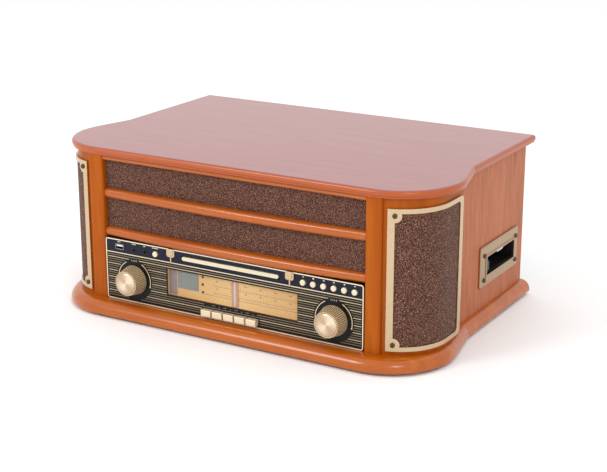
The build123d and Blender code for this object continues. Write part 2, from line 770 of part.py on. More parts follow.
# Turntable deck on ledges of the walls
deck_gap = wall + clearance
deck = prism(pod_plan(-deck_gap, pod_back_y - deck_gap), deck_bottom, deck_top)
deck &= block(-300, 300, deck_front_y, 300, 0, 300)
deck += block(
    -inner_side_x + clearance, inner_side_x - clearance, pod_back_y - deck_gap - 5, rear_panel_y - clearance,
    deck_bottom, deck_top,
)
pulley_turn = math.radians(pulley_angle)
pulley_x = platter_x + pulley_distance * math.cos(pulley_turn)
pulley_y = platter_y + pulley_distance * math.sin(pulley_turn)
deck += rod_z(platter_x, platter_y, deck_bottom - 6, deck_bottom + 0.1, bearing_r)
deck -= rod_z(platter_x, platter_y, 0, 300, spindle_r + running_gap)
deck -= rod_z(pulley_x, pulley_y, 0, 300, motor_shaft_r + 1.4)
post_top = deck_top + arm_post_height
deck += rod_z(arm_x, arm_y, deck_top - 0.1, post_top, arm_post_r)
deck += rod_z(arm_x, arm_y, post_top - 0.1, column_top, arm_column_r)
deck -= rod_z(arm_x, arm_y, post_top - 4, column_top + 1, arm_pin_r + running_gap)
rest_y = arm_y - rest_distance
rest_top = arm_axis_z - arm_tube_r - clearance
deck += block(arm_x - 5, arm_x + 7, rest_y - 4, rest_y + 4, deck_top - 0.1, rest_top)
deck += block(arm_x + arm_tube_r + 0.6, arm_x + 7, rest_y - 4, rest_y + 4, rest_top - 1, arm_axis_z + 1)
lever_half = lever_length / 2 + lever_travel + 1
deck -= block(
    lever_x - lever_width / 2 - 0.5, lever_x + lever_width / 2 + 0.5, lever_y - lever_half, lever_y + lever_half,
    deck_bottom - 1, deck_top + 1,
)
ledge = block(-inner_side_x + clearance, -inner_side_x + 10, 0, 150, deck_bottom - 12, deck_bottom + 0.1)
deck += ledge
deck += mirrored(ledge)
save("turntable_deck", deck)

# Platter with its bearing, mat, motor, pulley and belt
platter = rod_z(platter_x, platter_y, disc_low, platter_top, platter_r)
platter = fillet(platter.edges().group_by(Axis.Z)[-1], platter_edge_r)
skirt = rod_z(platter_x, platter_y, skirt_low, disc_low + 0.1, platter_r)
skirt -= rod_z(platter_x, platter_y, skirt_low - 1, disc_low + 1, platter_r - platter_skirt)
rim = rod_z(platter_x, platter_y, skirt_low, disc_low + 0.1, belt_rim_r)
rim -= rod_z(platter_x, platter_y, skirt_low - 1, disc_low + 1, belt_rim_r - belt_rim_wall)
boss = rod_z(platter_x, platter_y, deck_top + 0.3, disc_low + 0.1, bearing_r)
spindle = rod_z(platter_x, platter_y, deck_bottom - 7, mat_top + spindle_above_mat, spindle_r)
spindle = chamfer(spindle.edges().group_by(Axis.Z)[-1], 1.0)
collar = rod_z(platter_x, platter_y, platter_top - 0.1, mat_top + 0.1, spindle_collar_r)
save("platter", platter + skirt + rim + boss + spindle + collar)
mat = rod_z(platter_x, platter_y, platter_top, mat_top, mat_r) - rod_z(
    platter_x, platter_y, platter_top - 1, mat_top + 1, spindle_collar_r + 0.2
)
save("slip_mat", mat)

motor = rod_z(pulley_x, pulley_y, deck_bottom - motor_height, deck_bottom, motor_r)
motor -= rod_z(pulley_x, pulley_y, deck_bottom - motor_height + 6, deck_top, motor_shaft_r + running_gap)
save("drive_motor", motor)
belt_low = skirt_low + 0.8
pulley = rod_z(pulley_x, pulley_y, deck_top + 1.0, belt_low + belt_height + 0.8, pulley_r)
pulley += rod_z(pulley_x, pulley_y, deck_bottom - 12, deck_top + 2, motor_shaft_r)
save("motor_pulley", pulley)


def loop_face(grow):
    """Outline round the platter's rim and the pulley, grown by a distance."""
    large = belt_rim_r + belt_gap + grow
    small = pulley_r + belt_gap + grow
    lean = math.asin((large - small) / pulley_distance)
    big_turn = math.pi / 2 - lean
    points = []
    for sign in (1, -1):
        turn = pulley_turn + sign * big_turn
        points.append((
            (platter_x + large * math.cos(turn), platter_y + large * math.sin(turn)),
            (pulley_x + small * math.cos(turn), pulley_y + small * math.sin(turn)),
        ))
    far = (platter_x - large * math.cos(pulley_turn), platter_y - large * math.sin(pulley_turn))
    near = (pulley_x + small * math.cos(pulley_turn), pulley_y + small * math.sin(pulley_turn))
    return make_face([
        ThreePointArc(points[0][0], far, points[1][0]),
        Line(points[1][0], points[1][1]),
        ThreePointArc(points[1][1], near, points[0][1]),
        Line(points[0][1], points[0][0]),
    ])


save("drive_belt", prism(loop_face(belt_thickness) - loop_face(0), belt_low, belt_low + belt_height))

# Tonearm: a yoke that swings on the column, and the arm that tilts in it
yoke = rod_z(arm_x, arm_y, column_top + clearance, column_top + 3.2, yoke_width / 2)
yoke += rod_z(arm_x, arm_y, post_top - 3, column_top + 1, arm_pin_r)
for x in (arm_x - yoke_width / 2, arm_x + yoke_width / 2):
    yoke += block(x - yoke_cheek / 2, x + yoke_cheek / 2, arm_y - 4, arm_y + 4, column_top + 1, arm_axis_z + 4)
    yoke -= rod_x(arm_y, arm_axis_z, x - yoke_cheek, x + yoke_cheek, axle_r + running_gap)
save("tonearm_yoke", yoke)

tip_y = arm_y - arm_length
tube = rod_y(arm_x, arm_axis_z, tip_y + 30, arm_y + 24, arm_tube_r)
hub = rod_x(arm_y, arm_axis_z, arm_x - yoke_width / 2 + 2.0, arm_x + yoke_width / 2 - 2.0, 6.0)
axle = rod_x(arm_y, arm_axis_z, arm_x - yoke_width / 2 - 2.5, arm_x + yoke_width / 2 + 2.5, axle_r)
weight = rod_y(arm_x, arm_axis_z, arm_y + 20, arm_y + 20 + counterweight_length, counterweight_r)
weight = chamfer(weight.edges().filter_by(GeomType.CIRCLE), 1.0)
head = block(arm_x - 8, arm_x + 8, tip_y - 8, tip_y + 34, arm_axis_z - 3.5, arm_axis_z + 3.0)
head = fillet(head.edges().filter_by(Axis.Z), 3.0)
stylus_z = mat_top + record_thickness
cartridge = block(arm_x - 5, arm_x + 5, tip_y - 4, tip_y + 14, stylus_z + 1.2, arm_axis_z - 3.4)
stylus = Pos(arm_x, tip_y, stylus_z + 0.65) * Cone(0.3, 0.8, 1.3)
lift = block(arm_x + 7.5, arm_x + 18, tip_y + 6, tip_y + 9, arm_axis_z - 1, arm_axis_z + 1)
save("tonearm", tube + hub + axle + weight + head + cartridge + stylus + lift)

lever = block(
    lever_x - lever_width / 2, lever_x + lever_width / 2, lever_y - lever_length / 2, lever_y + lever_length / 2,
    deck_bottom - 3, deck_top + 5,
)
lever += block(
    lever_x - lever_width, lever_x + lever_width, lever_y - lever_length * 0.7, lever_y + lever_length * 0.7,
    deck_top + 0.5, deck_top + 7,
)
save("speed_lever", fillet(lever.edges().group_by(Axis.Z)[-1], 1.2))

# Lid with its hinges
lid_corner_x = lid_widest_x - lid_corner_r
lid_corner_y = lid_front_y + lid_corner_r
lid_face = plan(lid_side_x, lid_flare_y, lid_corner_x, lid_corner_y, lid_corner_r, back_y)
lid = prism(lid_face, lid_bottom + lid_lip, lid_top)
lid = fillet(lid.edges().group_by(Axis.Z)[-1].filter_by(lambda e: e.center().Y < back_y - 1), lid_edge_r)
lid = fillet(lid.edges().group_by(Axis.Z)[0].filter_by(lambda e: e.center().Y < back_y - 1), lid_under_edge_r)
lip_face = plan(
    lid_side_x - lid_lip_inset, lid_flare_y, lid_corner_x, lid_corner_y, lid_corner_r - lid_lip_inset, back_y
)
lid += prism(lip_face, lid_bottom, lid_bottom + lid_lip + 0.1)
save("lid", lid)

third = hinge_width / 3
upper = []
lower = []
for x in hinge_xs:
    x0 = x - hinge_width / 2
    leaf = block(x0, x0 + hinge_width, hinge_axis_y - 18, hinge_axis_y, lid_bottom - hinge_leaf, lid_bottom)
    leaf = leaf - rod_x(hinge_axis_y, hinge_axis_z, x0 - 1, x0 + third + 0.2, knuckle_r + 0.2)
    leaf = leaf - rod_x(hinge_axis_y, hinge_axis_z, x0 + 2 * third - 0.2, x0 + hinge_width + 1, knuckle_r + 0.2)
    leaf += rod_x(hinge_axis_y, hinge_axis_z, x0 + third + 0.2, x0 + 2 * third - 0.2, knuckle_r)
    leaf -= rod_x(hinge_axis_y, hinge_axis_z, x0 - 2, x0 + hinge_width + 2, pin_hole_r)
    upper.append(leaf)
    plate = block(x0, x0 + hinge_width, body_back_y + 0.02, body_back_y + hinge_leaf, hinge_axis_z - 22, hinge_axis_z)
    plate -= rod_x(hinge_axis_y, hinge_axis_z, x0 + third - 0.2, x0 + 2 * third + 0.2, knuckle_r + 0.3)
    for k in (x0, x0 + 2 * third + 0.1):
        plate += rod_x(hinge_axis_y, hinge_axis_z, k, k + third - 0.1, knuckle_r)
    plate += rod_x(hinge_axis_y, hinge_axis_z, x0, x0 + hinge_width, pin_r)
    lower.append(plate)
save("lid_hinges_upper", upper)
save("lid_hinges_lower", lower)

print("size", lid_widest_x * 2, back_y - front_y, lid_top)
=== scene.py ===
import bpy
import bmesh
from math import cos, pi, radians, sin
from mathutils import Matrix, Vector


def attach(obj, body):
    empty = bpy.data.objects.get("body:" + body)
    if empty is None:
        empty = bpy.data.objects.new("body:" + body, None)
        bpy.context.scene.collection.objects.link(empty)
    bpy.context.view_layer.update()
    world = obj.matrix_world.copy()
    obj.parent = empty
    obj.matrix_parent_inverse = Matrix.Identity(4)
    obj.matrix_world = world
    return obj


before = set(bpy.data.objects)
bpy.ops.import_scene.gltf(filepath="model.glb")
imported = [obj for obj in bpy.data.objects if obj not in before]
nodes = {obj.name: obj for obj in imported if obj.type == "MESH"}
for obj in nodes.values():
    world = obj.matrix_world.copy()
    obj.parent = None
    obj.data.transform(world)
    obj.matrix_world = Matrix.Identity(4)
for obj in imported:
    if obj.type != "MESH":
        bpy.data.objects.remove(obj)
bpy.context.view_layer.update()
mm = 0.001

# Control panel, in millimetres: its face, printed lines, windows and knobs
panel = {
    "front": -154.0, "halfWidth": 182.2, "low": 18.7, "high": 98.4, "splitZ": 80.5, "splitHalf": 0.5,
    "splitInset": 1, "ink": 0.12, "edge": 0.35, "borderInset": 0.4, "borderWidth": 1.3, "cornerRadius": 3.0,
    "stripeInset": 3.0, "firstStripe": 3.2, "stripePitch": 2.95, "stripeWidth": 0.55, "boldWidth": 0.75,
    "boldEvery": 3, "windowGap": 0.8, "dial": (-90, 95, 38.5, 72), "keys": (-38.3, 42.5, 22.4, 31.0),
    "knobXs": (-139.3, 143.3), "knobZ": 49.0, "jackXs": (-138.3, -122.5),
}


def linear(hexColour):
    parts = [int(hexColour[i:i + 2], 16) / 255 for i in (1, 3, 5)]
    parts = [p / 12.92 if p <= 0.04045 else ((p + 0.055) / 1.055) ** 2.4 for p in parts]
    return (*parts, 1.0)


# A setting goes to the socket or property of its name; "stops" holds the places and colours of a ramp
def addNode(tree, kind, settings=None, links=None):
    node = tree.nodes.new(kind)
    for name, value in (settings or {}).items():
        if name == "stops":
            stops = node.color_ramp.elements
            while len(stops) < len(value):
                stops.new(0.5)
            for stop, (position, colour) in zip(stops, value):
                stop.position = position
                stop.color = linear(colour)
        elif isinstance(name, int) or name in node.inputs:
            node.inputs[name].default_value = linear(value) if isinstance(value, str) else value
        else:
            setattr(node, name, value)
    for name, socket in (links or {}).items():
        tree.links.new(socket, node.inputs[name])
    return node


# Returns the material, its tree, its shader, and the place on the piece that patterns are laid out by
def newMaterial(name, **surface):
    material = bpy.data.materials.new(name)
    material.use_nodes = True
    tree = material.node_tree
    shader = tree.nodes["Principled BSDF"]
    for socket, value in surface.items():
        shader.inputs[socket.replace("_", " ")].default_value = value
    place = addNode(tree, "ShaderNodeTexCoord").outputs["Object"]
    return material, tree, shader, place


def feedShader(tree, shader, **sources):
    for socket, source in sources.items():
        tree.links.new(source, shader.inputs[socket.replace("_", " ")])


# What the lacquered woods share: how far the figure is drawn out, and how much of each layer shows
lacquer = {
    "figureStretch": 9, "stripShow": 0.22, "edgeStreak": 0.25, "edgeCoat": 0.2, "edgeBlend": 0.0006,
    "glossLow": 0.05, "glossHigh": 0.07, "poreShow": 0.12, "poreDepth": 0.0001,
}


# Lacquered wood: stain hides most of the figure, so grain is faint under a soft clear coat
def lacqueredWood(name, look):
    material, tree, shader, place = newMaterial(
        name, Roughness=look["roughness"], Coat_Weight=look["coat"], Coat_Roughness=look["coatRoughness"],
        Specular_IOR_Level=look["specular"],
    )
    alongGrain = "XYZ".index(look["grainAxis"])
    poreScale = [1 / (look["grainMm"] * mm)] * 3
    poreScale[alongGrain] /= look["stretch"]
    figureScale = [1 / (look["figureMm"] * mm)] * 3
    figureScale[alongGrain] /= lacquer["figureStretch"]
    fine = addNode(tree, "ShaderNodeMapping", {"Scale": poreScale}, {"Vector": place})
    broad = addNode(tree, "ShaderNodeMapping", {"Scale": figureScale}, {"Vector": place})
    pores = addNode(
        tree, "ShaderNodeTexNoise", {"Scale": 1.0, "Detail": 3.0, "Roughness": 0.6},
        {"Vector": fine.outputs["Vector"]},
    )
    figure = addNode(
        tree, "ShaderNodeTexNoise", {"Scale": 1.0, "Detail": 4.0, "Roughness": 0.55, "Distortion": 0.6},
        {"Vector": broad.outputs["Vector"]},
    )
    tone = addNode(
        tree, "ShaderNodeValToRGB", {"stops": [(0.3, look["dark"]), (0.5, look["middle"]), (0.72, look["light"])]},
        {"Fac": figure.outputs["Fac"]},
    )
    streak = addNode(
        tree, "ShaderNodeValToRGB", {"stops": [(0.35, look["pore"]), (0.62, look["light"])]},
        {"Fac": pores.outputs["Fac"]},
    )
    colour = addNode(
        tree, "ShaderNodeMix", {"data_type": "RGBA", 0: look["grainShow"]},
        {6: tone.outputs["Color"], 7: streak.outputs["Color"]},
    )
    if "stripMm" in look:  # strips of veneer laid side by side
        across = addNode(tree, "ShaderNodeMapping", {"Scale": (0, 1 / (look["stripMm"] * mm), 0)}, {"Vector": place})
        strips = addNode(
            tree, "ShaderNodeTexVoronoi", {"voronoi_dimensions": "3D", "Scale": 1.0, "Randomness": 0.7},
            {"Vector": across.outputs["Vector"]},
        )
        shade = addNode(
            tree, "ShaderNodeValToRGB", {"stops": [(0.0, look["dark"]), (1.0, look["light"])]},
            {"Fac": strips.outputs["Color"]},
        )
        colour = addNode(
            tree, "ShaderNodeMix", {"data_type": "RGBA", 0: lacquer["stripShow"]},
            {6: colour.outputs[2], 7: shade.outputs["Color"]},
        )
    if "edgeTop" in look:  # the edge under the veneered face is solid wood with a thinner coat
        split = addNode(tree, "ShaderNodeSeparateXYZ", {}, {"Vector": place})
        above = addNode(
            tree, "ShaderNodeMapRange",
            {"From Min": look["edgeTop"] - lacquer["edgeBlend"], "From Max": look["edgeTop"]},
            {"Value": split.outputs["Z"]},
        )
        solid = addNode(
            tree, "ShaderNodeMix", {"data_type": "RGBA", 0: lacquer["edgeStreak"], 6: look["edgeColour"]},
            {7: streak.outputs["Color"]},
        )
        colour = addNode(
            tree, "ShaderNodeMix", {"data_type": "RGBA"},
            {6: solid.outputs[2], 7: colour.outputs[2], 0: above.outputs["Result"]},
        )
        coat = addNode(
            tree, "ShaderNodeMapRange", {"To Min": lacquer["edgeCoat"], "To Max": look["coat"]},
            {"Value": above.outputs["Result"]},
        )
        feedShader(tree, shader, Coat_Weight=coat.outputs["Result"])
    gloss = addNode(
        tree, "ShaderNodeMapRange",
        {"To Min": look["roughness"] - lacquer["glossLow"], "To Max": look["roughness"] + lacquer["glossHigh"]},
        {"Value": pores.outputs["Fac"]},
    )
    bump = addNode(
        tree, "ShaderNodeBump", {"Strength": lacquer["poreShow"], "Distance": lacquer["poreDepth"]},
        {"Height": pores.outputs["Fac"]},
    )
    feedShader(
        tree, shader, Base_Color=colour.outputs[2], Roughness=gloss.outputs["Result"], Normal=bump.outputs["Normal"],
    )
    return material


woodLooks = {
    "solidRail": {  # stained hardwood in thick lacquer: even orange with wide soft highlights
        "grainAxis": "X", "grainMm": 1.1, "stretch": 40, "figureMm": 16, "grainShow": 0.2, "dark": "#A44A02",
        "middle": "#AE5402", "light": "#BA6008", "pore": "#8A3C02", "roughness": 0.3, "specular": 0.12, "coat": 0.85,
        "coatRoughness": 0.2,
    },
    "uprightVeneer": {  # sliced veneer without a clear coat: strips and pores show, and the gloss is low
        "grainAxis": "Z", "grainMm": 0.9, "stretch": 45, "figureMm": 11, "grainShow": 0.5, "dark": "#98502F",
        "middle": "#B2663C", "light": "#C87C54", "pore": "#743420", "roughness": 0.38, "specular": 0.14, "coat": 0.0,
        "coatRoughness": 0.2, "stripMm": 17,
    },
    "podVeneer": {  # close grained veneer bent round the corners: darker orange, hardly any figure
        "grainAxis": "Z", "grainMm": 1.0, "stretch": 45, "figureMm": 14, "grainShow": 0.15, "dark": "#984402",
        "middle": "#A44E02", "light": "#B05A06", "pore": "#923E02", "roughness": 0.3, "specular": 0.12, "coat": 0.06,
        "coatRoughness": 0.12,
    },
    "lidVeneer": {  # red stained veneer in polished lacquer: a pale reflection lies over it
        "grainAxis": "X", "grainMm": 0.8, "stretch": 30, "figureMm": 12, "grainShow": 0.3, "dark": "#86342C",
        "middle": "#903C36", "light": "#9A4842", "pore": "#70281E", "roughness": 0.3, "specular": 0.4, "coat": 0.7,
        "coatRoughness": 0.16, "edgeTop": 0.2115, "edgeColour": "#B45408",
    },
}
woods = {name: lacqueredWood(name, look) for name, look in woodLooks.items()}


# Woven speaker cloth: dark gaps, raised threads and light flecks give it a pebbled look.
# The gaps and the edges of the cells are darkened with painted shade, and the highest threads carry a painted
# highlight.
# Real threads are finer: they are drawn about a millimetre wide, so that they show.
def speakerCloth():
    look = {
        "cellMm": 1.5, "fleckMm": 0.85, "fleckSpread": 0.8, "fleckShift": (0.37, 0.11, 0.53), "fleckFrom": 0.65,
        "fleckTo": 0.69, "gap": "#1B0D09", "thread": "#4C2C23", "high": "#A07060", "fleck": "#C8946C",
        "cellEdgeShade": "#777777", "cellMiddle": "#FFFFFF", "cellShow": 0.75, "relief": 0.0006,
    }
    material, tree, shader, place = newMaterial(
        "wovenSpeakerCloth", Roughness=0.85, Sheen_Weight=0.08, Sheen_Roughness=0.4, Specular_IOR_Level=0.2,
    )
    cells = addNode(
        tree, "ShaderNodeTexVoronoi", {"feature": "DISTANCE_TO_EDGE", "Scale": 1 / (look["cellMm"] * mm)},
        {"Vector": place},
    )
    threads = addNode(
        tree, "ShaderNodeTexNoise",
        {"Scale": 1 / (look["fleckMm"] * mm), "Detail": 2.0, "Roughness": 0.5, "Distortion": 1.4}, {"Vector": place},
    )
    # painted shade in the low gaps and a painted highlight on the highest threads, following the bump
    base = addNode(
        tree, "ShaderNodeValToRGB", {"stops": [(0.4, look["gap"]), (0.5, look["thread"]), (0.6, look["high"])]},
        {"Fac": threads.outputs["Fac"]},
    )
    # painted shade towards the edges of each cell
    shade = addNode(
        tree, "ShaderNodeValToRGB", {"stops": [(0.0, look["cellEdgeShade"]), (0.22, look["cellMiddle"])]},
        {"Fac": cells.outputs["Distance"]},
    )
    ground = addNode(
        tree, "ShaderNodeMix", {"data_type": "RGBA", "blend_type": "MULTIPLY", 0: look["cellShow"]},
        {6: base.outputs["Color"], 7: shade.outputs["Color"]},
    )
    shifted = addNode(tree, "ShaderNodeMapping", {"Location": look["fleckShift"]}, {"Vector": place})
    flecks = addNode(
        tree, "ShaderNodeTexNoise", {"Scale": 1 / (look["fleckMm"] * mm) * look["fleckSpread"], "Detail": 1.0},
        {"Vector": shifted.outputs["Vector"]},
    )
    mask = addNode(
        tree, "ShaderNodeMapRange", {"From Min": look["fleckFrom"], "From Max": look["fleckTo"]},
        {"Value": flecks.outputs["Fac"]},
    )
    colour = addNode(
        tree, "ShaderNodeMix", {"data_type": "RGBA", 7: look["fleck"]},
        {6: ground.outputs[2], 0: mask.outputs["Result"]},
    )
    bump = addNode(
        tree, "ShaderNodeBump", {"Strength": 0.6, "Distance": look["relief"]}, {"Height": threads.outputs["Fac"]},
    )
    feedShader(tree, shader, Base_Color=colour.outputs[2], Normal=bump.outputs["Normal"])
    return material


# Plated or turned metal: a faint grain breaks up its highlights, worn spots are darker, and edges catch light
def softMetal(name, colour, roughness, worn):
    look = {"grainMm": 0.5, "grainDepth": 0.00002, "edgeRadius": 0.0005, "glossLow": 0.04, "glossHigh": 0.06}
    material, tree, shader, place = newMaterial(name, Metallic=1.0, Roughness=roughness)
    grain = addNode(
        tree, "ShaderNodeTexNoise", {"Scale": 1 / (look["grainMm"] * mm), "Detail": 3.0}, {"Vector": place},
    )
    tone = addNode(
        tree, "ShaderNodeValToRGB", {"stops": [(0.3, worn), (0.55, colour)]}, {"Fac": grain.outputs["Fac"]},
    )
    gloss = addNode(
        tree, "ShaderNodeMapRange", {"To Min": roughness - look["glossLow"], "To Max": roughness + look["glossHigh"]},
        {"Value": grain.outputs["Fac"]},
    )
    edge = addNode(tree, "ShaderNodeBevel", {"samples": 4, "Radius": look["edgeRadius"]})
    bump = addNode(
        tree, "ShaderNodeBump", {"Strength": 0.15, "Distance": look["grainDepth"]},
        {"Height": grain.outputs["Fac"], "Normal": edge.outputs["Normal"]},
    )
    feedShader(
        tree, shader, Base_Color=tone.outputs["Color"], Roughness=gloss.outputs["Result"],
        Normal=bump.outputs["Normal"],
    )
    return material


# Moulded plastic, rubber, felt and screen ink: a fine grain mottles the colour and softens the gloss
def mouldedPlastic(name, colour, roughness, shade, grainMm=0.35, depth=0.00003, **surface):
    material, tree, shader, place = newMaterial(name, Roughness=roughness, **surface)
    grain = addNode(tree, "ShaderNodeTexNoise", {"Scale": 1 / (grainMm * mm), "Detail": 2.0}, {"Vector": place})
    tone = addNode(
        tree, "ShaderNodeValToRGB", {"stops": [(0.3, shade), (0.65, colour)]}, {"Fac": grain.outputs["Fac"]},
    )
    bump = addNode(tree, "ShaderNodeBump", {"Strength": 0.2, "Distance": depth}, {"Height": grain.outputs["Fac"]})
    feedShader(tree, shader, Base_Color=tone.outputs["Color"], Normal=bump.outputs["Normal"])
    return material


# Screen printed panel: navy above the separator, brown black below, under a clear lacquer
def printedPanel():
    look = {
        "upper": "#13152A", "lower": "#1A1310", "blurMm": 0.2, "speckMm": 0.6, "speckDark": "#0A0A0E",
        "speckLight": "#201C1A", "speckShow": 0.25, "speckDepth": 0.00003,
    }
    material, tree, shader, place = newMaterial("screenPrintedPanel", Roughness=0.3, Specular_IOR_Level=0.22)
    splitZ = panel["splitZ"] * mm
    height = addNode(tree, "ShaderNodeSeparateXYZ", {}, {"Vector": place})
    side = addNode(
        tree, "ShaderNodeMapRange", {"From Min": splitZ, "From Max": splitZ + look["blurMm"] * mm},
        {"Value": height.outputs["Z"]},
    )
    colour = addNode(
        tree, "ShaderNodeMix", {"data_type": "RGBA", 6: look["lower"], 7: look["upper"]}, {0: side.outputs["Result"]},
    )
    grain = addNode(
        tree, "ShaderNodeTexNoise", {"Scale": 1 / (look["speckMm"] * mm), "Detail": 2.0}, {"Vector": place},
    )
    speck = addNode(
        tree, "ShaderNodeValToRGB", {"stops": [(0.3, look["speckDark"]), (0.7, look["speckLight"])]},
        {"Fac": grain.outputs["Fac"]},
    )
    speckled = addNode(
        tree, "ShaderNodeMix", {"data_type": "RGBA", 0: look["speckShow"]},
        {6: colour.outputs[2], 7: speck.outputs["Color"]},
    )
    bump = addNode(
        tree, "ShaderNodeBump", {"Strength": 0.08, "Distance": look["speckDepth"]}, {"Height": grain.outputs["Fac"]},
    )
    feedShader(tree, shader, Base_Color=speckled.outputs[2], Normal=bump.outputs["Normal"])
    return material


# Dial card: tan printed board with painted light, lighter along its middle and darker to its ends as a lamp would
# leave it, and a faint painted glow in its own colour
def dialCard():
    look = {
        "edge": "#D8A868", "middle": "#F2CA8E", "halfWidth": 95 * mm, "centre": 12 * mm, "fibreMm": 1.5,
        "fibreDark": "#C89B62", "fibreLight": "#FFE3B4", "fibreShow": 0.1, "fibreDepth": 0.00002, "paintedGlow": 0.2,
    }
    material, tree, shader, place = newMaterial("printedDialCard", Roughness=0.5, Emission_Strength=look["paintedGlow"])
    split = addNode(tree, "ShaderNodeSeparateXYZ", {}, {"Vector": place})
    offset = addNode(tree, "ShaderNodeMath", {"operation": "SUBTRACT", 1: look["centre"]}, {0: split.outputs["X"]})
    away = addNode(tree, "ShaderNodeMath", {"operation": "ABSOLUTE"}, {0: offset.outputs[0]})
    # painted light: the card darkens away from its middle
    paintedLightFalloff = addNode(
        tree, "ShaderNodeMapRange", {"From Min": 0.0, "From Max": look["halfWidth"]}, {"Value": away.outputs[0]},
    )
    tone = addNode(
        tree, "ShaderNodeMix", {"data_type": "RGBA", 6: look["middle"], 7: look["edge"]}, {0: paintedLightFalloff.outputs["Result"]},
    )
    fibre = addNode(
        tree, "ShaderNodeTexNoise", {"Scale": 1 / (look["fibreMm"] * mm), "Detail": 3.0}, {"Vector": place},
    )
    mottle = addNode(
        tree, "ShaderNodeValToRGB", {"stops": [(0.35, look["fibreDark"]), (0.65, look["fibreLight"])]},
        {"Fac": fibre.outputs["Fac"]},
    )
    mottled = addNode(
        tree, "ShaderNodeMix", {"data_type": "RGBA", 0: look["fibreShow"]},
        {6: tone.outputs[2], 7: mottle.outputs["Color"]},
    )
    bump = addNode(
        tree, "ShaderNodeBump", {"Strength": 0.05, "Distance": look["fibreDepth"]}, {"Height": fibre.outputs["Fac"]},
    )
    # painted glow: the card gives off light in its own colour
    feedShader(
        tree, shader, Base_Color=mottled.outputs[2], Emission_Color=mottled.outputs[2], Normal=bump.outputs["Normal"],
    )
    return material


# Spun aluminium, lacquered champagne: the turning tool leaves rings in the bump, and a painted highlight fans out from
# the middle, lighter and darker by the angle round it
def spunFace(name, knobX):
    look = {"ringMm": 0.45, "ringDepth": 0.00004, "paintedHighlightFans": 2.0, "light": "#F2DEC4", "dark": "#C6AB8C"}
    material, tree, shader, place = newMaterial(name, Metallic=1.0, Roughness=0.3)
    centre = (knobX * mm, 0, panel["knobZ"] * mm)
    shifted = addNode(tree, "ShaderNodeVectorMath", {"operation": "SUBTRACT", 1: centre}, {0: place})
    flat = addNode(tree, "ShaderNodeVectorMath", {"operation": "MULTIPLY", 1: (1, 0, 1)}, {0: shifted.outputs[0]})
    radius = addNode(tree, "ShaderNodeVectorMath", {"operation": "LENGTH"}, {0: flat.outputs[0]})
    turns = addNode(
        tree, "ShaderNodeMath", {"operation": "MULTIPLY", 1: 2 * pi / (look["ringMm"] * mm)},
        {0: radius.outputs["Value"]},
    )
    rings = addNode(tree, "ShaderNodeMath", {"operation": "SINE"}, {0: turns.outputs[0]})
    split = addNode(tree, "ShaderNodeSeparateXYZ", {}, {"Vector": flat.outputs[0]})
    # painted highlight: two light fans and two darker ones round the middle of the face
    angle = addNode(
        tree, "ShaderNodeMath", {"operation": "ARCTAN2"}, {0: split.outputs["Z"], 1: split.outputs["X"]},
    )
    fan = addNode(tree, "ShaderNodeMath", {"operation": "MULTIPLY", 1: look["paintedHighlightFans"]}, {0: angle.outputs[0]})
    fanWave = addNode(tree, "ShaderNodeMath", {"operation": "SINE"}, {0: fan.outputs[0]})
    paintedHighlight = addNode(
        tree, "ShaderNodeMapRange", {"From Min": -1.0, "From Max": 1.0}, {"Value": fanWave.outputs[0]},
    )
    tone = addNode(
        tree, "ShaderNodeMix", {"data_type": "RGBA", 6: look["dark"], 7: look["light"]}, {0: paintedHighlight.outputs["Result"]},
    )
    bump = addNode(
        tree, "ShaderNodeBump", {"Strength": 0.35, "Distance": look["ringDepth"]}, {"Height": rings.outputs[0]},
    )
    feedShader(tree, shader, Base_Color=tone.outputs[2], Normal=bump.outputs["Normal"])
    return material


# Ridged knob side: champagne lacquer over metal, with painted shade between the ridges and a painted highlight along
# their tops
def ridgedSide(name, knobX):
    look = {"ridges": 48, "ridgeDepth": 0.0003, "light": "#EED9B2", "dark": "#8E7148"}
    material, tree, shader, place = newMaterial(name, Metallic=0.6, Roughness=0.42)
    centre = (knobX * mm, 0, panel["knobZ"] * mm)
    shifted = addNode(tree, "ShaderNodeVectorMath", {"operation": "SUBTRACT", 1: centre}, {0: place})
    split = addNode(tree, "ShaderNodeSeparateXYZ", {}, {"Vector": shifted.outputs[0]})
    angle = addNode(
        tree, "ShaderNodeMath", {"operation": "ARCTAN2"}, {0: split.outputs["Z"], 1: split.outputs["X"]},
    )
    turns = addNode(tree, "ShaderNodeMath", {"operation": "MULTIPLY", 1: look["ridges"]}, {0: angle.outputs[0]})
    wave = addNode(tree, "ShaderNodeMath", {"operation": "COSINE"}, {0: turns.outputs[0]})
    ridge = addNode(tree, "ShaderNodeMapRange", {"From Min": 1.0, "From Max": -1.0}, {"Value": wave.outputs[0]})
    # painted shade in the grooves and a painted highlight on the ridge tops
    tone = addNode(
        tree, "ShaderNodeValToRGB", {"stops": [(0.15, look["dark"]), (0.75, look["light"])]},
        {"Fac": ridge.outputs["Result"]},
    )
    bump = addNode(
        tree, "ShaderNodeBump", {"Strength": 0.5, "Distance": look["ridgeDepth"]}, {"Height": ridge.outputs["Result"]},
    )
    feedShader(tree, shader, Base_Color=tone.outputs["Color"], Normal=bump.outputs["Normal"])
    return material


# Clear acrylic window: thin, slightly amber, with a faint haze in its gloss
def acrylicWindow():
    look = {"tint": "#7A6A4C", "alpha": 0.14, "hazeMm": 8, "glossLow": 0.01, "glossHigh": 0.05}
    material, tree, shader, place = newMaterial(
        "clearAcrylic", Roughness=0.02, IOR=1.49, Alpha=look["alpha"], Base_Color=linear(look["tint"]),
    )
    material.surface_render_method = "BLENDED"
    haze = addNode(tree, "ShaderNodeTexNoise", {"Scale": 1 / (look["hazeMm"] * mm), "Detail": 2.0}, {"Vector": place})
    gloss = addNode(
        tree, "ShaderNodeMapRange", {"To Min": look["glossLow"], "To Max": look["glossHigh"]},
        {"Value": haze.outputs["Fac"]},
    )
    feedShader(tree, shader, Roughness=gloss.outputs["Result"])
    return material


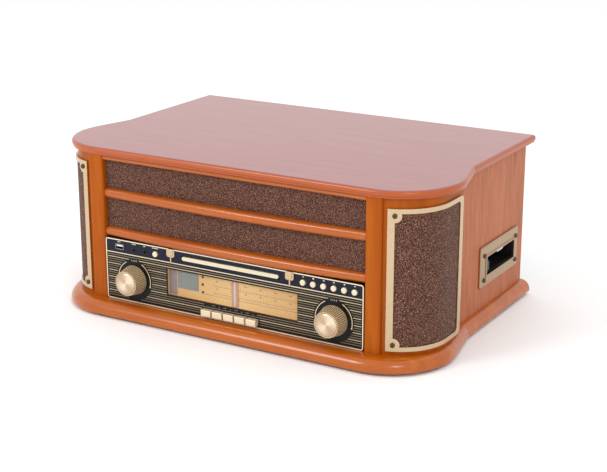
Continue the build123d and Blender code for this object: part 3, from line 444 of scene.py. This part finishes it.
# Anodised tonearm: silver tube with a black head and counterweight, told apart by their place along the arm
def tonearmFinish():
    look = {
        "headEndY": -88 * mm, "weightStartY": 109.3 * mm, "silver": "#B8B8BA", "silverShade": "#A6A6A8",
        "black": "#141416", "grainMm": 0.5,
    }
    material, tree, shader, place = newMaterial("anodisedTonearm", Roughness=0.3)
    split = addNode(tree, "ShaderNodeSeparateXYZ", {}, {"Vector": place})
    isHead = addNode(
        tree, "ShaderNodeMath", {"operation": "LESS_THAN", 1: look["headEndY"]}, {0: split.outputs["Y"]},
    )
    isWeight = addNode(
        tree, "ShaderNodeMath", {"operation": "GREATER_THAN", 1: look["weightStartY"]}, {0: split.outputs["Y"]},
    )
    isBlack = addNode(
        tree, "ShaderNodeMath", {"operation": "ADD", "use_clamp": True},
        {0: isHead.outputs[0], 1: isWeight.outputs[0]},
    )
    grain = addNode(tree, "ShaderNodeTexNoise", {"Scale": 1 / (look["grainMm"] * mm)}, {"Vector": place})
    silver = addNode(
        tree, "ShaderNodeValToRGB", {"stops": [(0.3, look["silverShade"]), (0.6, look["silver"])]},
        {"Fac": grain.outputs["Fac"]},
    )
    colour = addNode(
        tree, "ShaderNodeMix", {"data_type": "RGBA", 7: look["black"]},
        {6: silver.outputs["Color"], 0: isBlack.outputs[0]},
    )
    metal = addNode(tree, "ShaderNodeMath", {"operation": "SUBTRACT", 0: 1.0}, {1: isBlack.outputs[0]})
    feedShader(tree, shader, Base_Color=colour.outputs[2], Metallic=metal.outputs[0])
    return material


# Disc drawer: gilt painted front bar on a black moulded tray
def drawerFinish():
    look = {
        "barBackY": -150.6 * mm, "gilt": "#E2D9BE", "giltShade": "#D6CAA6", "giltMetal": 0.5, "black": "#161617",
        "grainMm": 0.35, "grainDepth": 0.00003,
    }
    material, tree, shader, place = newMaterial("giltFrontedTray", Roughness=0.3, Specular_IOR_Level=0.4)
    split = addNode(tree, "ShaderNodeSeparateXYZ", {}, {"Vector": place})
    isTray = addNode(
        tree, "ShaderNodeMath", {"operation": "GREATER_THAN", 1: look["barBackY"]}, {0: split.outputs["Y"]},
    )
    isBar = addNode(tree, "ShaderNodeMath", {"operation": "SUBTRACT", 0: 1.0}, {1: isTray.outputs[0]})
    grain = addNode(
        tree, "ShaderNodeTexNoise", {"Scale": 1 / (look["grainMm"] * mm), "Detail": 2.0}, {"Vector": place},
    )
    gilt = addNode(
        tree, "ShaderNodeValToRGB", {"stops": [(0.3, look["giltShade"]), (0.65, look["gilt"])]},
        {"Fac": grain.outputs["Fac"]},
    )
    colour = addNode(
        tree, "ShaderNodeMix", {"data_type": "RGBA", 7: look["black"]},
        {6: gilt.outputs["Color"], 0: isTray.outputs[0]},
    )
    metal = addNode(tree, "ShaderNodeMath", {"operation": "MULTIPLY", 1: look["giltMetal"]}, {0: isBar.outputs[0]})
    bump = addNode(
        tree, "ShaderNodeBump", {"Strength": 0.2, "Distance": look["grainDepth"]}, {"Height": grain.outputs["Fac"]},
    )
    feedShader(
        tree, shader, Base_Color=colour.outputs[2], Metallic=metal.outputs[0], Normal=bump.outputs["Normal"],
    )
    return material


cloth = speakerCloth()
panelPrint = printedPanel()
dialPrint = dialCard()
clearWindow = acrylicWindow()
tonearmMetal = tonearmFinish()
drawerPlastic = drawerFinish()
knobSides = [ridgedSide("ridgedSideLeft", panel["knobXs"][0]), ridgedSide("ridgedSideRight", panel["knobXs"][1])]
knobFaces = [spunFace("spunFaceLeft", panel["knobXs"][0]), spunFace("spunFaceRight", panel["knobXs"][1])]

# Metals: pale satin plate, duller bronze, dark screws and levers, bright chrome
satinBrass = softMetal("satinBrass", "#D2B998", 0.26, "#BAA07C")
bezelBrass = softMetal("bezelBronze", "#B29578", 0.28, "#9A7E62")
bronzeScrew = softMetal("bronzedSteel", "#6C5A3E", 0.3, "#40341F")
gunSteel = softMetal("blackenedSteel", "#34363E", 0.16, "#24262C")
chromePlate = softMetal("chromePlate", "#D8DCE0", 0.1, "#C8CCD2")
plainSteel = softMetal("platedSteel", "#A6A6A4", 0.38, "#8C8C8A")
turnedAluminium = softMetal("turnedAluminium", "#B9B9B7", 0.32, "#A3A3A1")
brassHinge = softMetal("brassedSteel", "#B99A5E", 0.35, "#A0834C")

# Black and dark pieces: satin plastic, coarser grained deck, dull board, rubber and felt
blackAbs = mouldedPlastic("blackAbs", "#121213", 0.45, "#0C0C0D")
deckAbs = mouldedPlastic("grainedDeckAbs", "#1B1B1C", 0.55, "#101011", grainMm=0.5, depth=0.0001)
rearBoard = mouldedPlastic("paintedHardboard", "#1A1817", 0.75, "#0F0E0D", grainMm=0.9, depth=0.0001)
softRubber = mouldedPlastic("mouldedRubber", "#151515", 0.8, "#0C0C0C", grainMm=0.6)
feltMat = mouldedPlastic("needledFelt", "#1A1A1B", 0.95, "#0B0B0B", grainMm=0.4, depth=0.0003, Sheen_Weight=0.4)
boardGreen = mouldedPlastic("glassFibreBoard", "#1B3F24", 0.5, "#15331C")

# Pale pieces: caps and keys painted with a little metal flake under a clear coat, an unlit display behind
# glass, and plain satin plastics
pearlCap = mouldedPlastic("pearlPaintedAbs", "#E8DCC0", 0.24, "#DCCDA8", Metallic=0.45, Coat_Weight=0.5)
creamKey = mouldedPlastic("creamPaintedAbs", "#EBDABC", 0.32, "#E0CBA8", Metallic=0.3, Coat_Weight=0.3)
displayGlass = mouldedPlastic("unlitDisplayGlass", "#8B979A", 0.22, "#808C90", Coat_Weight=0.8)
pointerPlastic = mouldedPlastic("pinkPointerPlastic", "#E0AFA0", 0.35, "#D39E90")
pointerCore = mouldedPlastic("whitePointerCore", "#FBEFE6", 0.3, "#F6E6DA")
usbWhite = mouldedPlastic("whiteNylon", "#EDEDEB", 0.4, "#DEDEDC")

# Inks: thin films with the dull shine of their pigment, gilt ones with some metal in them
jetInk = mouldedPlastic("jetInk", "#0D0E14", 0.32, "#0A0A0C", Specular_IOR_Level=0.2)
giltInk = mouldedPlastic("giltInk", "#D9C8A4", 0.38, "#CDBA92", Metallic=0.2)
dimGiltInk = mouldedPlastic("thinGiltInk", "#9C8A6C", 0.42, "#8B795C", Metallic=0.1)
borderInk = mouldedPlastic("creamBorderInk", "#EADCC0", 0.35, "#DFCFB0", Metallic=0.2)
whiteInk = mouldedPlastic("whiteInk", "#D6D4CC", 0.5, "#C4C2BA")
brownInk = mouldedPlastic("brownInk", "#8E6236", 0.6, "#80562E")
darkInk = mouldedPlastic("darkDialInk", "#2E241C", 0.5, "#231B15")
greyBand = mouldedPlastic("greyDialBand", "#9C8C90", 0.4, "#8F7F86")
print("materials made")

dressing = {
    "base_plinth": woods["solidRail"], "front_posts": woods["podVeneer"], "corner_walls": woods["podVeneer"],
    "lower_rail": woods["solidRail"], "middle_rail": woods["solidRail"], "top_rail": woods["solidRail"],
    "side_panel_left": woods["uprightVeneer"], "side_panel_right": woods["uprightVeneer"], "lid": woods["lidVeneer"],
    "front_cloth_panel": cloth, "grille_cloths": cloth, "grille_frames": satinBrass, "panel_ornaments": satinBrass,
    "control_panel": panelPrint, "dial_window": clearWindow, "dial_scale": dialPrint, "dial_pointer": pointerPlastic,
    "lcd_display": displayGlass, "panel_sockets": blackAbs, "volume_knob": knobSides[0], "tuning_knob": knobSides[1],
    "rubber_feet": softRubber, "front_circuit_board": boardGreen, "cd_tray": drawerPlastic, "cd_mechanism": blackAbs,
    "cassette_bezel": bezelBrass, "cassette_mechanism": blackAbs, "cassette_guide_bar": gunSteel,
    "cassette_eject_button": gunSteel, "trim_screws": bronzeScrew, "speaker_drivers": blackAbs,
    "rear_panel": rearBoard, "rear_sockets": blackAbs, "power_transformer": plainSteel, "turntable_deck": deckAbs,
    "platter": turnedAluminium, "slip_mat": feltMat, "drive_motor": plainSteel, "motor_pulley": brassHinge,
    "drive_belt": softRubber, "tonearm": tonearmMetal, "tonearm_yoke": turnedAluminium, "speed_lever": blackAbs,
    "lid_hinges_upper": brassHinge, "lid_hinges_lower": brassHinge,
}
dressing.update({name: pearlCap for name in nodes if name.startswith(("track_button", "record_button"))})
dressing.update({name: creamKey for name in nodes if name.startswith("mode_key")})
for name, node in nodes.items():
    if not node.material_slots:
        node.data.materials.append(dressing[name])
    for materialSlot in node.material_slots:
        materialSlot.material = dressing[name]
print("nodes dressed")


def finishPiece(name, bm, material, body):
    bmesh.ops.remove_doubles(bm, verts=bm.verts, dist=1e-6)
    bmesh.ops.recalc_face_normals(bm, faces=bm.faces)
    mesh = bpy.data.meshes.new(name)
    bm.to_mesh(mesh)
    bm.free()
    mesh.materials.append(material)
    piece = bpy.data.objects.new(name, mesh)
    bpy.context.scene.collection.objects.link(piece)
    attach(piece, body)
    return piece


def addPlate(bm, x0, x1, z0, z1, y0, y1):
    made = bmesh.ops.create_cube(bm, size=1.0)["verts"]
    bmesh.ops.scale(bm, verts=made, vec=((x1 - x0) * mm, (y1 - y0) * mm, (z1 - z0) * mm))
    bmesh.ops.translate(bm, verts=made, vec=((x0 + x1) / 2 * mm, (y0 + y1) / 2 * mm, (z0 + z1) / 2 * mm))
    return made


# Upright sheet of faces, centred on x = 0
def addSheet(bm, halfWidth, halfHeight, y, z, columns=1, rows=1):
    verts = bmesh.ops.create_grid(bm, x_segments=columns, y_segments=rows, size=1.0)["verts"]
    bmesh.ops.rotate(bm, verts=verts, cent=(0, 0, 0), matrix=Matrix.Rotation(radians(90), 3, "X"))
    bmesh.ops.scale(bm, verts=verts, vec=(halfWidth * mm, 1, halfHeight * mm))
    bmesh.ops.translate(bm, verts=verts, vec=(0, y * mm, z * mm))


def extrudeBack(bm, faces, depth):
    made = bmesh.ops.extrude_face_region(bm, geom=faces)["geom"]
    moved = [item for item in made if isinstance(item, bmesh.types.BMVert)]
    bmesh.ops.translate(bm, verts=moved, vec=(0, depth * mm, 0))


# Flat ring or part of one, facing the front; angles in degrees from the right, anticlockwise
def addArc(bm, x, z, radius, width, startDegrees, endDegrees, y0, y1, steps):
    start, inner, outer = radians(startDegrees), radius - width / 2, radius + width / 2
    corners = [
        bm.verts.new(((x + r * cos(start)) * mm, y * mm, (z + r * sin(start)) * mm))
        for r, y in ((inner, y0), (outer, y0), (outer, y1), (inner, y1))
    ]
    face = bm.faces.new(corners)
    isWhole = endDegrees - startDegrees == 360
    bmesh.ops.spin(
        bm, geom=[face, *face.edges, *face.verts], cent=(x * mm, 0, z * mm), axis=(0, -1, 0),
        angle=radians(endDegrees - startDegrees), steps=steps, use_merge=isWhole,
    )
    if isWhole:
        bm.faces.remove(face)


def addDisc(bm, x, z, radius, y0, y1, steps):
    bmesh.ops.create_cone(
        bm, cap_ends=True, segments=steps, radius1=radius * mm, radius2=radius * mm, depth=(y1 - y0) * mm,
        matrix=Matrix.Translation((x * mm, (y0 + y1) / 2 * mm, z * mm)) @ Matrix.Rotation(radians(90), 4, "X"),
    )


def makeStripes():
    inner, front = panel["halfWidth"] - panel["stripeInset"], panel["front"]
    bold, thin = bmesh.new(), bmesh.new()
    count = int((panel["splitZ"] - panel["stripeInset"] - panel["low"]) / panel["stripePitch"])
    for i in range(count):
        z = panel["splitZ"] - panel["firstStripe"] - i * panel["stripePitch"]
        isBold = i % panel["boldEvery"] == 1
        width = panel["boldWidth"] if isBold else panel["stripeWidth"]
        spans = [(-inner, inner)]
        for x0, x1, z0, z1 in (panel["dial"], panel["keys"]):
            if z0 - width < z < z1 + width:
                spans = [(-inner, x0 - panel["windowGap"]), (x1 + panel["windowGap"], inner)]
        for x0, x1 in spans:
            addPlate(bold if isBold else thin, x0, x1, z - width / 2, z + width / 2, front - panel["ink"], front)
    finishPiece("panelStripesBold", bold, giltInk, "cabinet")
    finishPiece("panelStripesThin", thin, dimGiltInk, "cabinet")


# Border with rounded corners, and the separator between the strip and the striped field
def makeBorder():
    bm = bmesh.new()
    half, front = panel["halfWidth"] - panel["borderInset"], panel["front"] - panel["edge"]
    centreZ, halfZ = (panel["low"] + panel["high"]) / 2, (panel["high"] - panel["low"]) / 2 - panel["borderInset"]
    addSheet(bm, half, halfZ, front, centreZ)
    bmesh.ops.bevel(
        bm, geom=list(bm.verts), offset=panel["cornerRadius"] * mm, affect="VERTICES", segments=5, profile=0.5,
        material=-1,
    )
    bmesh.ops.inset_region(
        bm, faces=bm.faces[:], thickness=panel["borderWidth"] * mm, use_boundary=True, use_even_offset=True,
    )
    bm.faces.remove(max(bm.faces, key=lambda face: face.calc_area()))
    extrudeBack(bm, bm.faces[:], panel["edge"])
    splitLow, splitHigh = panel["splitZ"] - panel["splitHalf"], panel["splitZ"] + panel["splitHalf"]
    splitEnd = half - panel["splitInset"]
    addPlate(bm, -splitEnd, splitEnd, splitLow, splitHigh, front, panel["front"])
    finishPiece("panelBorder", bm, borderInk, "cabinet")


# Black discs behind the knobs, with two gilt arcs each that end in arrow heads
def makeKnobGrounds():
    look = {
        "discRadius": 26.5, "holeRadius": 3.7, "discDepth": 0.2, "arcRadius": 24.3, "arcWidth": 1.0,
        "arcs": ((118, 192), (62, -12)), "arcFront": 0.32, "arcDepth": 0.14, "headLength": 2.4, "headHalf": 1.3,
    }
    ink, gilt = bmesh.new(), bmesh.new()
    discMiddle, discWidth = (look["discRadius"] + look["holeRadius"]) / 2, look["discRadius"] - look["holeRadius"]
    front, arcFront, z = panel["front"], panel["front"] - look["arcFront"], panel["knobZ"]
    for x in panel["knobXs"]:
        addArc(ink, x, z, discMiddle, discWidth, 0, 360, front - look["discDepth"], front, 64)
        for start, end in look["arcs"]:
            addArc(
                gilt, x, z, look["arcRadius"], look["arcWidth"], min(start, end), max(start, end),
                arcFront, arcFront + look["arcDepth"], 20,
            )
            turn, way = radians(end), 1 if end > start else -1
            outward, onward = Vector((cos(turn), 0, sin(turn))), Vector((-sin(turn), 0, cos(turn))) * way
            middle = Vector((x, arcFront, z)) + outward * look["arcRadius"]
            sideways = outward * look["headHalf"]
            corners = (middle + onward * look["headLength"], middle + sideways, middle - sideways)
            face = gilt.faces.new([gilt.verts.new(corner * mm) for corner in corners])
            extrudeBack(gilt, [face], look["arcDepth"])
    finishPiece("knobGrounds", ink, jetInk, "cabinet")
    finishPiece("knobArcs", gilt, giltInk, "cabinet")


# Slightly dished spun caps on the knobs
def makeKnobFaces():
    look = {"front": -172.5, "radius": 13.6, "middle": 0.1, "halfWay": 0.18, "rim": 0.3, "skirt": 0.25}
    knobs = (("knobFaceLeft", "volume_knob"), ("knobFaceRight", "tuning_knob"))
    profile = (
        (0, look["middle"]), (look["radius"] * 0.5, look["halfWay"]), (look["radius"], look["rim"]),
        (look["radius"] + look["skirt"], 0),
    )
    z = panel["knobZ"]
    for (name, body), x, material in zip(knobs, panel["knobXs"], knobFaces):
        bm = bmesh.new()
        points = [bm.verts.new(((x + r) * mm, (look["front"] - height) * mm, z * mm)) for r, height in profile]
        edges = [bm.edges.new(pair) for pair in zip(points, points[1:])]
        bmesh.ops.spin(
            bm, geom=[*points, *edges], cent=(x * mm, 0, z * mm), axis=(0, 1, 0), angle=2 * pi, steps=64,
            use_merge=True,
        )
        bmesh.ops.remove_doubles(bm, verts=bm.verts, dist=1e-6)
        bmesh.ops.holes_fill(bm, edges=bm.edges[:], sides=0)
        piece = finishPiece(name, bm, material, body)
        piece.data.shade_smooth()


# Print on the dial card: three rules, two rows of ticks, three dots and a grey end band; and the pointer's core
def makeDialPrint():
    dial = {
        "front": -149.1, "ink": 0.1, "startX": -26.0, "endX": 90.0, "ruleZs": (59.6, 50.2), "longRuleZ": 47.0,
        "longStart": 12, "ruleEnd": 3, "rule": 0.35, "tickZs": (62.6, 53.2), "ticks": 24, "tickInset": 2,
        "tickHalf": 0.15, "tallEvery": 4, "tall": 1.9, "short": 1.0, "dotX": -40.3, "dotZs": (68.2, 58.7, 48.8),
        "dotRadius": 1.7, "dotDepth": 0.3, "band": (-89.8, -78.2, 38.7, 71.8), "bandDepth": 0.15,
        "core": (5.6, 7.5, 39.2, 71.3, -150.95, -150.8),
    }
    ink, dots, band, core = bmesh.new(), bmesh.new(), bmesh.new(), bmesh.new()
    front, startX, endX, half = dial["front"], dial["startX"], dial["endX"], dial["rule"] / 2
    rules = [(startX, z) for z in dial["ruleZs"]] + [(startX - dial["longStart"], dial["longRuleZ"])]
    for x, z in rules:
        addPlate(ink, x, endX + dial["ruleEnd"], z - half, z + half, front - dial["ink"], front)
    tickSpan = endX - startX - 2 * dial["tickInset"]
    for z in dial["tickZs"]:
        for i in range(dial["ticks"] + 1):
            x = startX + dial["tickInset"] + tickSpan * i / dial["ticks"]
            height = dial["short"] if i % dial["tallEvery"] else dial["tall"]
            addPlate(ink, x - dial["tickHalf"], x + dial["tickHalf"], z - height, z, front - dial["ink"], front)
    for z in dial["dotZs"]:
        addDisc(dots, dial["dotX"], z, dial["dotRadius"], front - dial["dotDepth"], front, 20)
    addPlate(band, *dial["band"], front - dial["bandDepth"], front)
    addPlate(core, *dial["core"])
    finishPiece("dialRules", ink, brownInk, "cabinet")
    finishPiece("dialDots", dots, darkInk, "cabinet")
    finishPiece("dialEndBand", band, greyBand, "cabinet")
    finishPiece("pointerCore", core, pointerCore, "dial_pointer")


# Raised numbers; each entry holds a number, its place and its height in millimetres
def makeNumbers(name, numbers, material):
    depth = 0.08
    bm = bmesh.new()
    for number, x, y, z, size in numbers:
        curve = bpy.data.curves.new(name, "FONT")
        curve.body, curve.size, curve.align_x, curve.align_y = number, size * mm, "CENTER", "CENTER"
        curve.extrude = depth * mm / 2
        curve.resolution_u = 2
        holder = bpy.data.objects.new(name, curve)
        bpy.context.scene.collection.objects.link(holder)
        bpy.context.view_layer.update()
        mesh = bpy.data.meshes.new_from_object(holder.evaluated_get(bpy.context.evaluated_depsgraph_get()))
        mesh.transform(Matrix.Translation((x * mm, y * mm, z * mm)) @ Matrix.Rotation(radians(90), 4, "X"))
        bm.from_mesh(mesh)
        bpy.data.objects.remove(holder)
        bpy.data.meshes.remove(mesh)
    finishPiece(name, bm, material, "cabinet")


# Numbers above the knobs, on the dial and on black tabs above the mode keys
def makePanelNumbers():
    knob = {"text": "2 4 6 8", "front": 0.23, "z": 73.6, "size": 3.0}
    dial = {
        "rows": (((88, 92, 96, 100, 104, 108), 65.6), ((54, 60, 70, 90, 120, 160), 56.2)), "front": -149.15,
        "startX": -20, "pitch": 20.5, "size": 3.0,
    }
    key = {
        "count": 5, "startX": -29.9, "pitch": 16, "front": 0.35, "z": 35.2, "size": 2.1, "tabHalf": 5.6,
        "tabZs": (33.4, 37.0), "tabDepth": 0.3,
    }
    front = panel["front"]
    knobNumbers = [(knob["text"], x, front - knob["front"], knob["z"], knob["size"]) for x in panel["knobXs"]]
    makeNumbers("knobWords", knobNumbers, giltInk)
    dialNumbers = [
        (str(value), dial["startX"] + i * dial["pitch"], dial["front"], z, dial["size"])
        for row, z in dial["rows"] for i, value in enumerate(row)
    ]
    makeNumbers("dialNumbers", dialNumbers, brownInk)
    keyXs = [key["startX"] + key["pitch"] * i for i in range(key["count"])]
    keyNumbers = [(str(i), x, front - key["front"], key["z"], key["size"]) for i, x in enumerate(keyXs, 1)]
    makeNumbers("keyWords", keyNumbers, giltInk)
    tabs = bmesh.new()
    for x in keyXs:
        addPlate(tabs, x - key["tabHalf"], x + key["tabHalf"], *key["tabZs"], front - key["tabDepth"], front)
    finishPiece("keyLabels", tabs, jetInk, "cabinet")


# Small white shapes above the round buttons, and rows of dashes above the sockets
def makeStripSymbols():
    look = {
        "startX": 102.75, "pitch": 13.55, "z": 94.6, "radius": 1.2, "half": 0.9, "barWidth": 0.3,
        # each shape's sides, its turn in degrees and where its bar starts; the one with no sides is a square
        "shapes": ((3, 0, None), (0, 0, None), (3, 0, 1.0), (3, 180, -1.3), (4, 0, None), (3, 90, None)),
        "dashRows": ((-160.8, 3.0), (-138.3, 3.4), (-122.5, 1.6), (-106.0, 5.0)), "dash": 1.0, "dashPitch": 1.6,
        "dashZs": (94.3, 95.6),
    }
    bm = bmesh.new()
    y0, y1, z, half = panel["front"] - panel["ink"], panel["front"], look["z"], look["half"]
    for i, (sides, turn, bar) in enumerate(look["shapes"]):
        x = look["startX"] + look["pitch"] * i
        if not sides:
            addPlate(bm, x - half, x + half, z - half, z + half, y0, y1)
            continue
        if bar:
            addPlate(bm, x + bar, x + bar + look["barWidth"], z - half, z + half, y0, y1)
        upright = Matrix.Rotation(radians(90), 4, "X") @ Matrix.Rotation(radians(30), 4, "Z")
        turned = Matrix.Rotation(radians(turn), 4, "Y") @ upright
        bmesh.ops.create_cone(
            bm, cap_ends=True, segments=sides, radius1=look["radius"] * mm, radius2=look["radius"] * mm,
            depth=panel["ink"] * mm, matrix=Matrix.Translation((x * mm, (y0 + y1) / 2 * mm, z * mm)) @ turned,
        )
    for x, halfWidth in look["dashRows"]:
        for k in range(int(2 * halfWidth / look["dashPitch"])):
            start = x - halfWidth + k * look["dashPitch"]
            addPlate(bm, start, start + look["dash"], *look["dashZs"], y0, y1)
    finishPiece("stripSymbols", bm, whiteInk, "cabinet")


# White tongue and steel shell of the data socket, and a black ring round each jack
def makeSocketDetails():
    look = {
        "tongue": (-165.6, -156.0, 88.9, 91.0, -153.9, -145.2), "tongueEdge": 0.2, "shellYs": (-154.25, -153.9),
        "shellBars": (
            (-167.2, -154.4, 91.2, 91.9), (-167.2, -154.4, 85.1, 85.8), (-167.3, -166.7, 85.1, 91.9),
            (-154.9, -154.3, 85.1, 91.9),
        ),
        "jackZ": 87.4, "ringRadius": 2.9, "ringHole": 1.85, "ringYs": (-154.35, -154.0),
    }
    tongue, shell, rings = bmesh.new(), bmesh.new(), bmesh.new()
    addPlate(tongue, *look["tongue"])
    bmesh.ops.bevel(
        tongue, geom=tongue.edges[:], offset=look["tongueEdge"] * mm, affect="EDGES", segments=2, profile=0.5,
        material=-1,
    )
    for bar in look["shellBars"]:
        addPlate(shell, *bar, *look["shellYs"])
    middle, width = (look["ringRadius"] + look["ringHole"]) / 2, look["ringRadius"] - look["ringHole"]
    for x in panel["jackXs"]:
        addArc(rings, x, look["jackZ"], middle, width, 0, 360, *look["ringYs"], 32)
    finishPiece("usbTongue", tongue, usbWhite, "cabinet")
    finishPiece("usbShell", shell, plainSteel, "cabinet")
    finishPiece("jackRings", rings, blackAbs, "cabinet")


makeStripes()
makeBorder()
makeKnobGrounds()
makeKnobFaces()
makeDialPrint()
makePanelNumbers()
makeStripSymbols()
makeSocketDetails()
print("panel made")


# Tape transport seen through the slot: a chrome head carriage under the bay's roof, and its two drive pins
def makeTapeTransport():
    look = {
        "blocks": ((219, 237, 80.2, 83.2, 84, 122), (225, 238.5, 77.6, 80.3, 94, 112)), "edge": 0.5,
        "pinX": 232, "pinYs": (88, 118), "pinZ": 78.8, "pinRadius": 1.1, "pinHeight": 3.6,
    }
    bm = bmesh.new()
    for block in look["blocks"]:
        edges = list({edge for vert in addPlate(bm, *block) for edge in vert.link_edges})
        bmesh.ops.bevel(
            bm, geom=edges, offset=look["edge"] * mm, affect="EDGES", segments=3, profile=0.5, material=-1,
        )
    for y in look["pinYs"]:
        bmesh.ops.create_cone(
            bm, cap_ends=True, segments=24, radius1=look["pinRadius"] * mm, radius2=look["pinRadius"] * mm,
            depth=look["pinHeight"] * mm, matrix=Matrix.Translation((look["pinX"] * mm, y * mm, look["pinZ"] * mm)),
        )
    finishPiece("tapeHeadCarriage", bm, chromePlate, "cabinet")


makeTapeTransport()
print("tape transport made")


# Cloth stretched over the board between the rails; flat sizes are those of the openings that it fills
def makeFrontCloths():
    look = {
        "halfWidth": 182.3, "front": -146.6, "thick": 0.5,
        "spans": (("frontClothUpper", 160.1, 196.6), ("frontClothLower", 110.6, 147.9)),
    }
    for name, low, high in look["spans"]:
        bm = bmesh.new()
        addSheet(bm, look["halfWidth"], (high - low) / 2, look["front"], (low + high) / 2, columns=80, rows=12)
        bmesh.ops.solidify(bm, geom=bm.faces[:], thickness=-look["thick"] * mm)
        piece = finishPiece(name, bm, cloth, "cabinet")


makeFrontCloths()
print("cloths made")


# Pale floor, white surroundings, three soft lamps and the camera
def makeStudio():
    look = {
        "floorSize": 12.0, "floorZ": -0.0002, "floorColour": "#F7F7F7", "worldColour": "#FFFFFF", "worldStrength": 1.0,
        "lamps": (
            ("keyLamp", (-1.1, -1.9, 1.7), 0.8, 20.0),
            ("fillLamp", (1.5, -1.5, 1.5), 0.5, 8.0),
            ("topLamp", (0.1, 0.6, 2.3), 2.2, 8.0),
        ),
        "lampAim": (0, 0, 0.1), "lens": 84.7, "sensor": 36.0, "cameraPlace": (0.8881, -1.4933, 0.6258),
        "cameraDown": 17.25, "cameraTurn": 30.37,
    }
    scene = bpy.context.scene
    bm = bmesh.new()
    bmesh.ops.create_grid(bm, x_segments=1, y_segments=1, size=look["floorSize"])
    mesh = bpy.data.meshes.new("studioFloor")
    bm.to_mesh(mesh)
    bm.free()
    mesh.materials.append(newMaterial("matteStudioFloor", Roughness=0.9, Base_Color=linear(look["floorColour"]))[0])
    floor = bpy.data.objects.new("studioFloor", mesh)
    floor.location.z = look["floorZ"]
    scene.collection.objects.link(floor)
    scene.world = bpy.data.worlds.new("paleStudio")
    scene.world.use_nodes = True
    background = scene.world.node_tree.nodes["Background"]
    background.inputs["Color"].default_value = linear(look["worldColour"])
    background.inputs["Strength"].default_value = look["worldStrength"]
    for name, place, size, watts in look["lamps"]:
        data = bpy.data.lights.new(name, "AREA")
        data.shape, data.size, data.energy = "SQUARE", size, watts
        lamp = bpy.data.objects.new(name, data)
        lamp.location = place
        lamp.rotation_euler = (Vector(look["lampAim"]) - Vector(place)).to_track_quat("-Z", "Y").to_euler()
        scene.collection.objects.link(lamp)
    data = bpy.data.cameras.new("studioCamera")
    data.lens, data.sensor_width = look["lens"], look["sensor"]
    camera = bpy.data.objects.new("studioCamera", data)
    camera.location = look["cameraPlace"]
    camera.rotation_euler = (radians(90 - look["cameraDown"]), 0, radians(look["cameraTurn"]))
    scene.collection.objects.link(camera)
    scene.camera = camera
    scene.view_settings.view_transform = "Standard"


makeStudio()
print("studio set")
